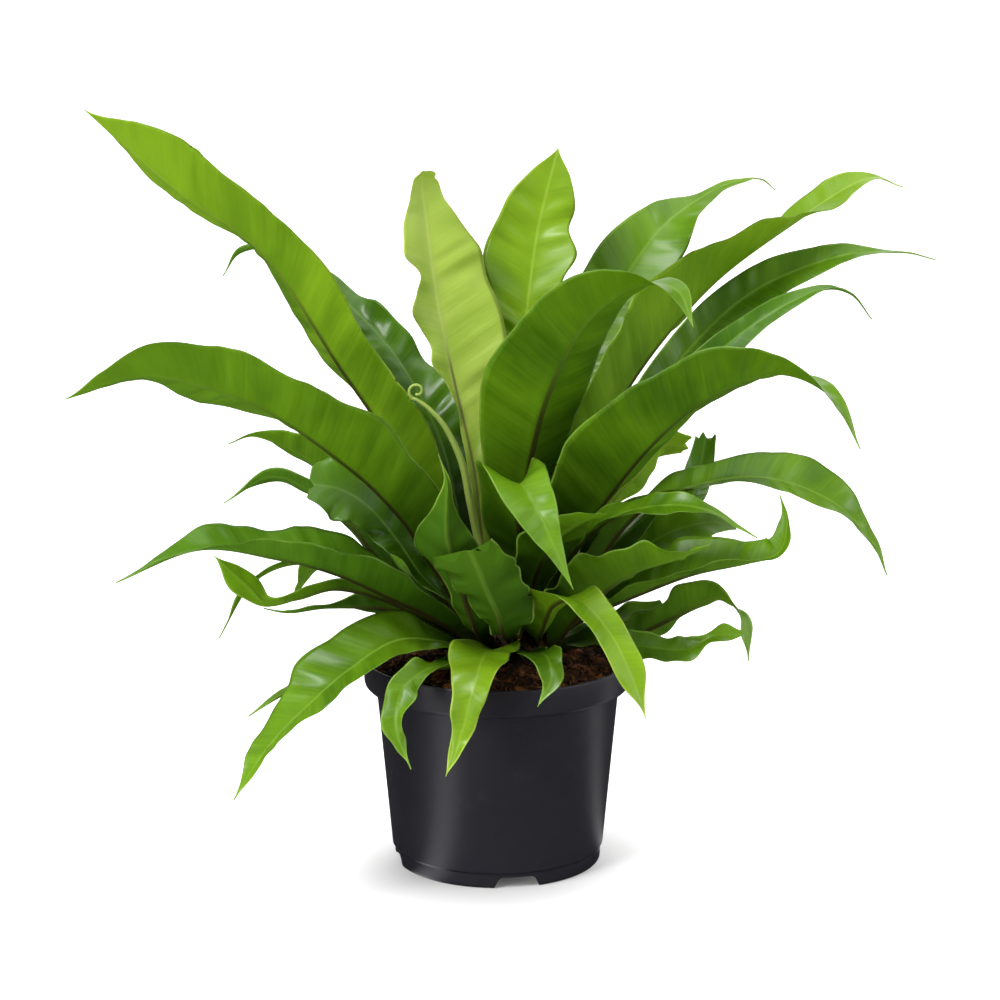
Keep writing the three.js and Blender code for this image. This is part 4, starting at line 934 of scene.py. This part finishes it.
# ---- the crown ----
def crown_scales_piece():
    """Narrow papery scales that stand round the frond feet."""
    chance = random.Random(21)
    bm = bmesh.new()
    flat = Matrix.Diagonal((1, 0.28, 1, 1))
    for _ in range(CROWN_SCALES):
        out = Vector(outward(math.radians(chance.uniform(20, 96)), chance.uniform(0, 2 * math.pi)))
        lean = out + Vector((0, 0, 0.9)) + Vector([chance.uniform(-0.35, 0.35) for _ in range(3)])
        lean.normalize()
        length = chance.uniform(4, 9)
        spot = Vector(CROWN_CENTRE) + out * (CROWN_RADIUS - 1) + lean * length / 2
        turned = lean.to_track_quat("Z", "Y").to_matrix().to_4x4()
        bmesh.ops.create_cone(
            bm, cap_ends=True, segments=6, radius1=chance.uniform(0.8, 1.5) * MM, radius2=0.05 * MM,
            depth=length * MM, matrix=Matrix.Translation(spot * MM) @ turned @ flat,
        )
    return mesh_piece("crown_scales", bm, SCALES, ())


# ---- the rolled young frond ----
CROZIER_TILT, CROZIER_ROOT, CROZIER_RADIUS, COIL, COIL_TURNS = 26, 215, 2.8, 5.5, 1.15
CROZIER_STALK = [
    [-12, -1, 206], [-17, -3, 232], [-22, -4, 257], [-32, -4, 279], [-42, -4, 291], [-50, -4, 297],
]
GROOVE_TURN, GROOVE_DEPTH = 250, 0.30  # of the groove along the stalk, in degrees and as a share


def crozier_piece():
    """A grooved stalk that tapers into its rolled tip."""
    whole = 360 * COIL_TURNS
    points = [np.array(p, float) for p in CROZIER_STALK]
    heart = points[-1] + np.array([0, 0, COIL])
    for turn in range(30, int(whole) + 1, 30):
        reach, angle = COIL * (1 - 0.7 * turn / whole), math.radians(turn)
        points.append(heart + reach * np.array([-math.sin(angle), 0, -math.cos(angle)]))
    rows, around = 150, 20
    t = np.linspace(0, 1, rows + 1)
    curve = spline([root_point(CROZIER_TILT, CROZIER_ROOT)] + points, 400)
    middle = at_share(curve, t)[0]
    across, up = sideways(curve, t, 2e-3, np.array([0.0, 1.0, 0.0]))
    thick = CROZIER_RADIUS * (1 - 0.62 * smooth((t - 0.45) / 0.55))
    bm = bmesh.new()
    grid(bm, around, rows)
    marks = {}
    for vert in bm.verts:
        row = round((vert.co.y + 1) * rows / 2)
        marks[vert.index] = (vert.co.x / 2 + 0.5, t[row])
        turn = -math.pi * vert.co.x
        groove = 1 - GROOVE_DEPTH * max(0.0, math.cos(turn - math.radians(GROOVE_TURN))) ** 6
        reach = thick[row] * groove
        out, rise = polar(reach, turn)
        vert.co = Vector(middle[row] + across[row] * out + up[row] * 0.92 * rise) * MM
    lay_maps(bm, marks, "place")
    close_skin(bm)
    return mesh_piece("rolled_frond", bm, crozier_finish(), ["crozier"])


# ---- studio ----
def camera():
    data = bpy.data.cameras.new("camera")
    data.sensor_width, data.lens = CAMERA_SENSOR, CAMERA_LENS
    data.clip_start, data.clip_end = 0.05, 200
    view = in_scene("camera", data)
    view.location = Vector(CAMERA_PLACE) * MM
    view.rotation_euler = (math.radians(90 - CAMERA_PITCH), 0, 0)
    bpy.context.scene.camera = view


def floor():
    bm = bmesh.new()
    grid(bm, 1, 1, 40)
    ground = mesh_object("floor", bm, floor_finish())


def hang_light(name, data, place, target):
    lamp = in_scene(name, data)
    lamp.location = place
    lamp.rotation_euler = (Vector(target) - Vector(place)).to_track_quat("-Z", "Y").to_euler()


def soft_light(name, place, strength, spread):
    """Even light from far away; spread is how wide, in degrees, its source looks."""
    data = bpy.data.lights.new(name, "SUN")
    data.energy, data.angle = strength, math.radians(spread)
    hang_light(name, data, place, (0, 0, 0))


def panel_light(name, place, width, height, power):
    """An upright softbox standing on the floor, which the pot and the glossy blades reflect."""
    data = bpy.data.lights.new(name, "AREA")
    data.shape, data.size, data.size_y, data.energy = "RECTANGLE", width, height, power
    hang_light(name, data, place, (0, 0, place[2]))


SKY_LOW, SKY_HIGH = 0.10, 0.36  # brightness of the room near the horizon and overhead
SKY_FROM, SKY_TO = -0.1, 0.9  # how far up it goes from one to the other


def surroundings():
    """White studio: bright overhead and dimmer round about, and plain white behind the picture."""
    f = Finish("studio", bpy.data.worlds)
    way = f.node("ShaderNodeTexCoord").outputs["Generated"]
    height = f.node("ShaderNodeSeparateXYZ", way).outputs[2]
    seen = f.node("ShaderNodeMix", f.node("ShaderNodeLightPath").outputs["Is Camera Ray"])
    f.put(f.spread(height, SKY_FROM, SKY_TO, SKY_LOW, SKY_HIGH), seen.inputs[2])
    f.put(1.0, seen.inputs[3])
    for value, socket in zip(((1, 1, 1), seen.outputs[0]), f.nodes["Background"].inputs):
        f.put(value, socket)
    bpy.context.scene.world = f.material


def studio():
    surroundings()
    soft_light("key, high on the left", (-1.7, -1.6, 2.4), 3.15, 24)
    soft_light("overhead", (0.2, 0.2, 3.0), 1.55, 60)
    soft_light("fill, on the right", (2.2, -1.5, 1.4), 0.6, 45)
    soft_light("behind", (0.3, 2.2, 0.75), 0.9, 50)
    panel_light("strip, left of the camera", (-1.15, -1.10, 0.34), 0.28, 0.66, 9)
    panel_light("strip, far right", (1.45, 0.40, 0.40), 0.28, 0.78, 4)
    panel_light("panel, right", (1.50, -0.60, 0.34), 0.90, 0.66, 5)
    bpy.context.scene.view_settings.view_transform = "Standard"


camera()
studio()
floor()
SCALES = scale_finish()
pot_piece()
soil_piece()
crumbs_piece()
fibres_piece()
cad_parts["crown"].data.materials.clear()
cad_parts["crown"].data.materials.append(SCALES)
crown_scales_piece()
for number, frond in enumerate(FRONDS):
    frond_piece(frond, number)
crozier_piece()
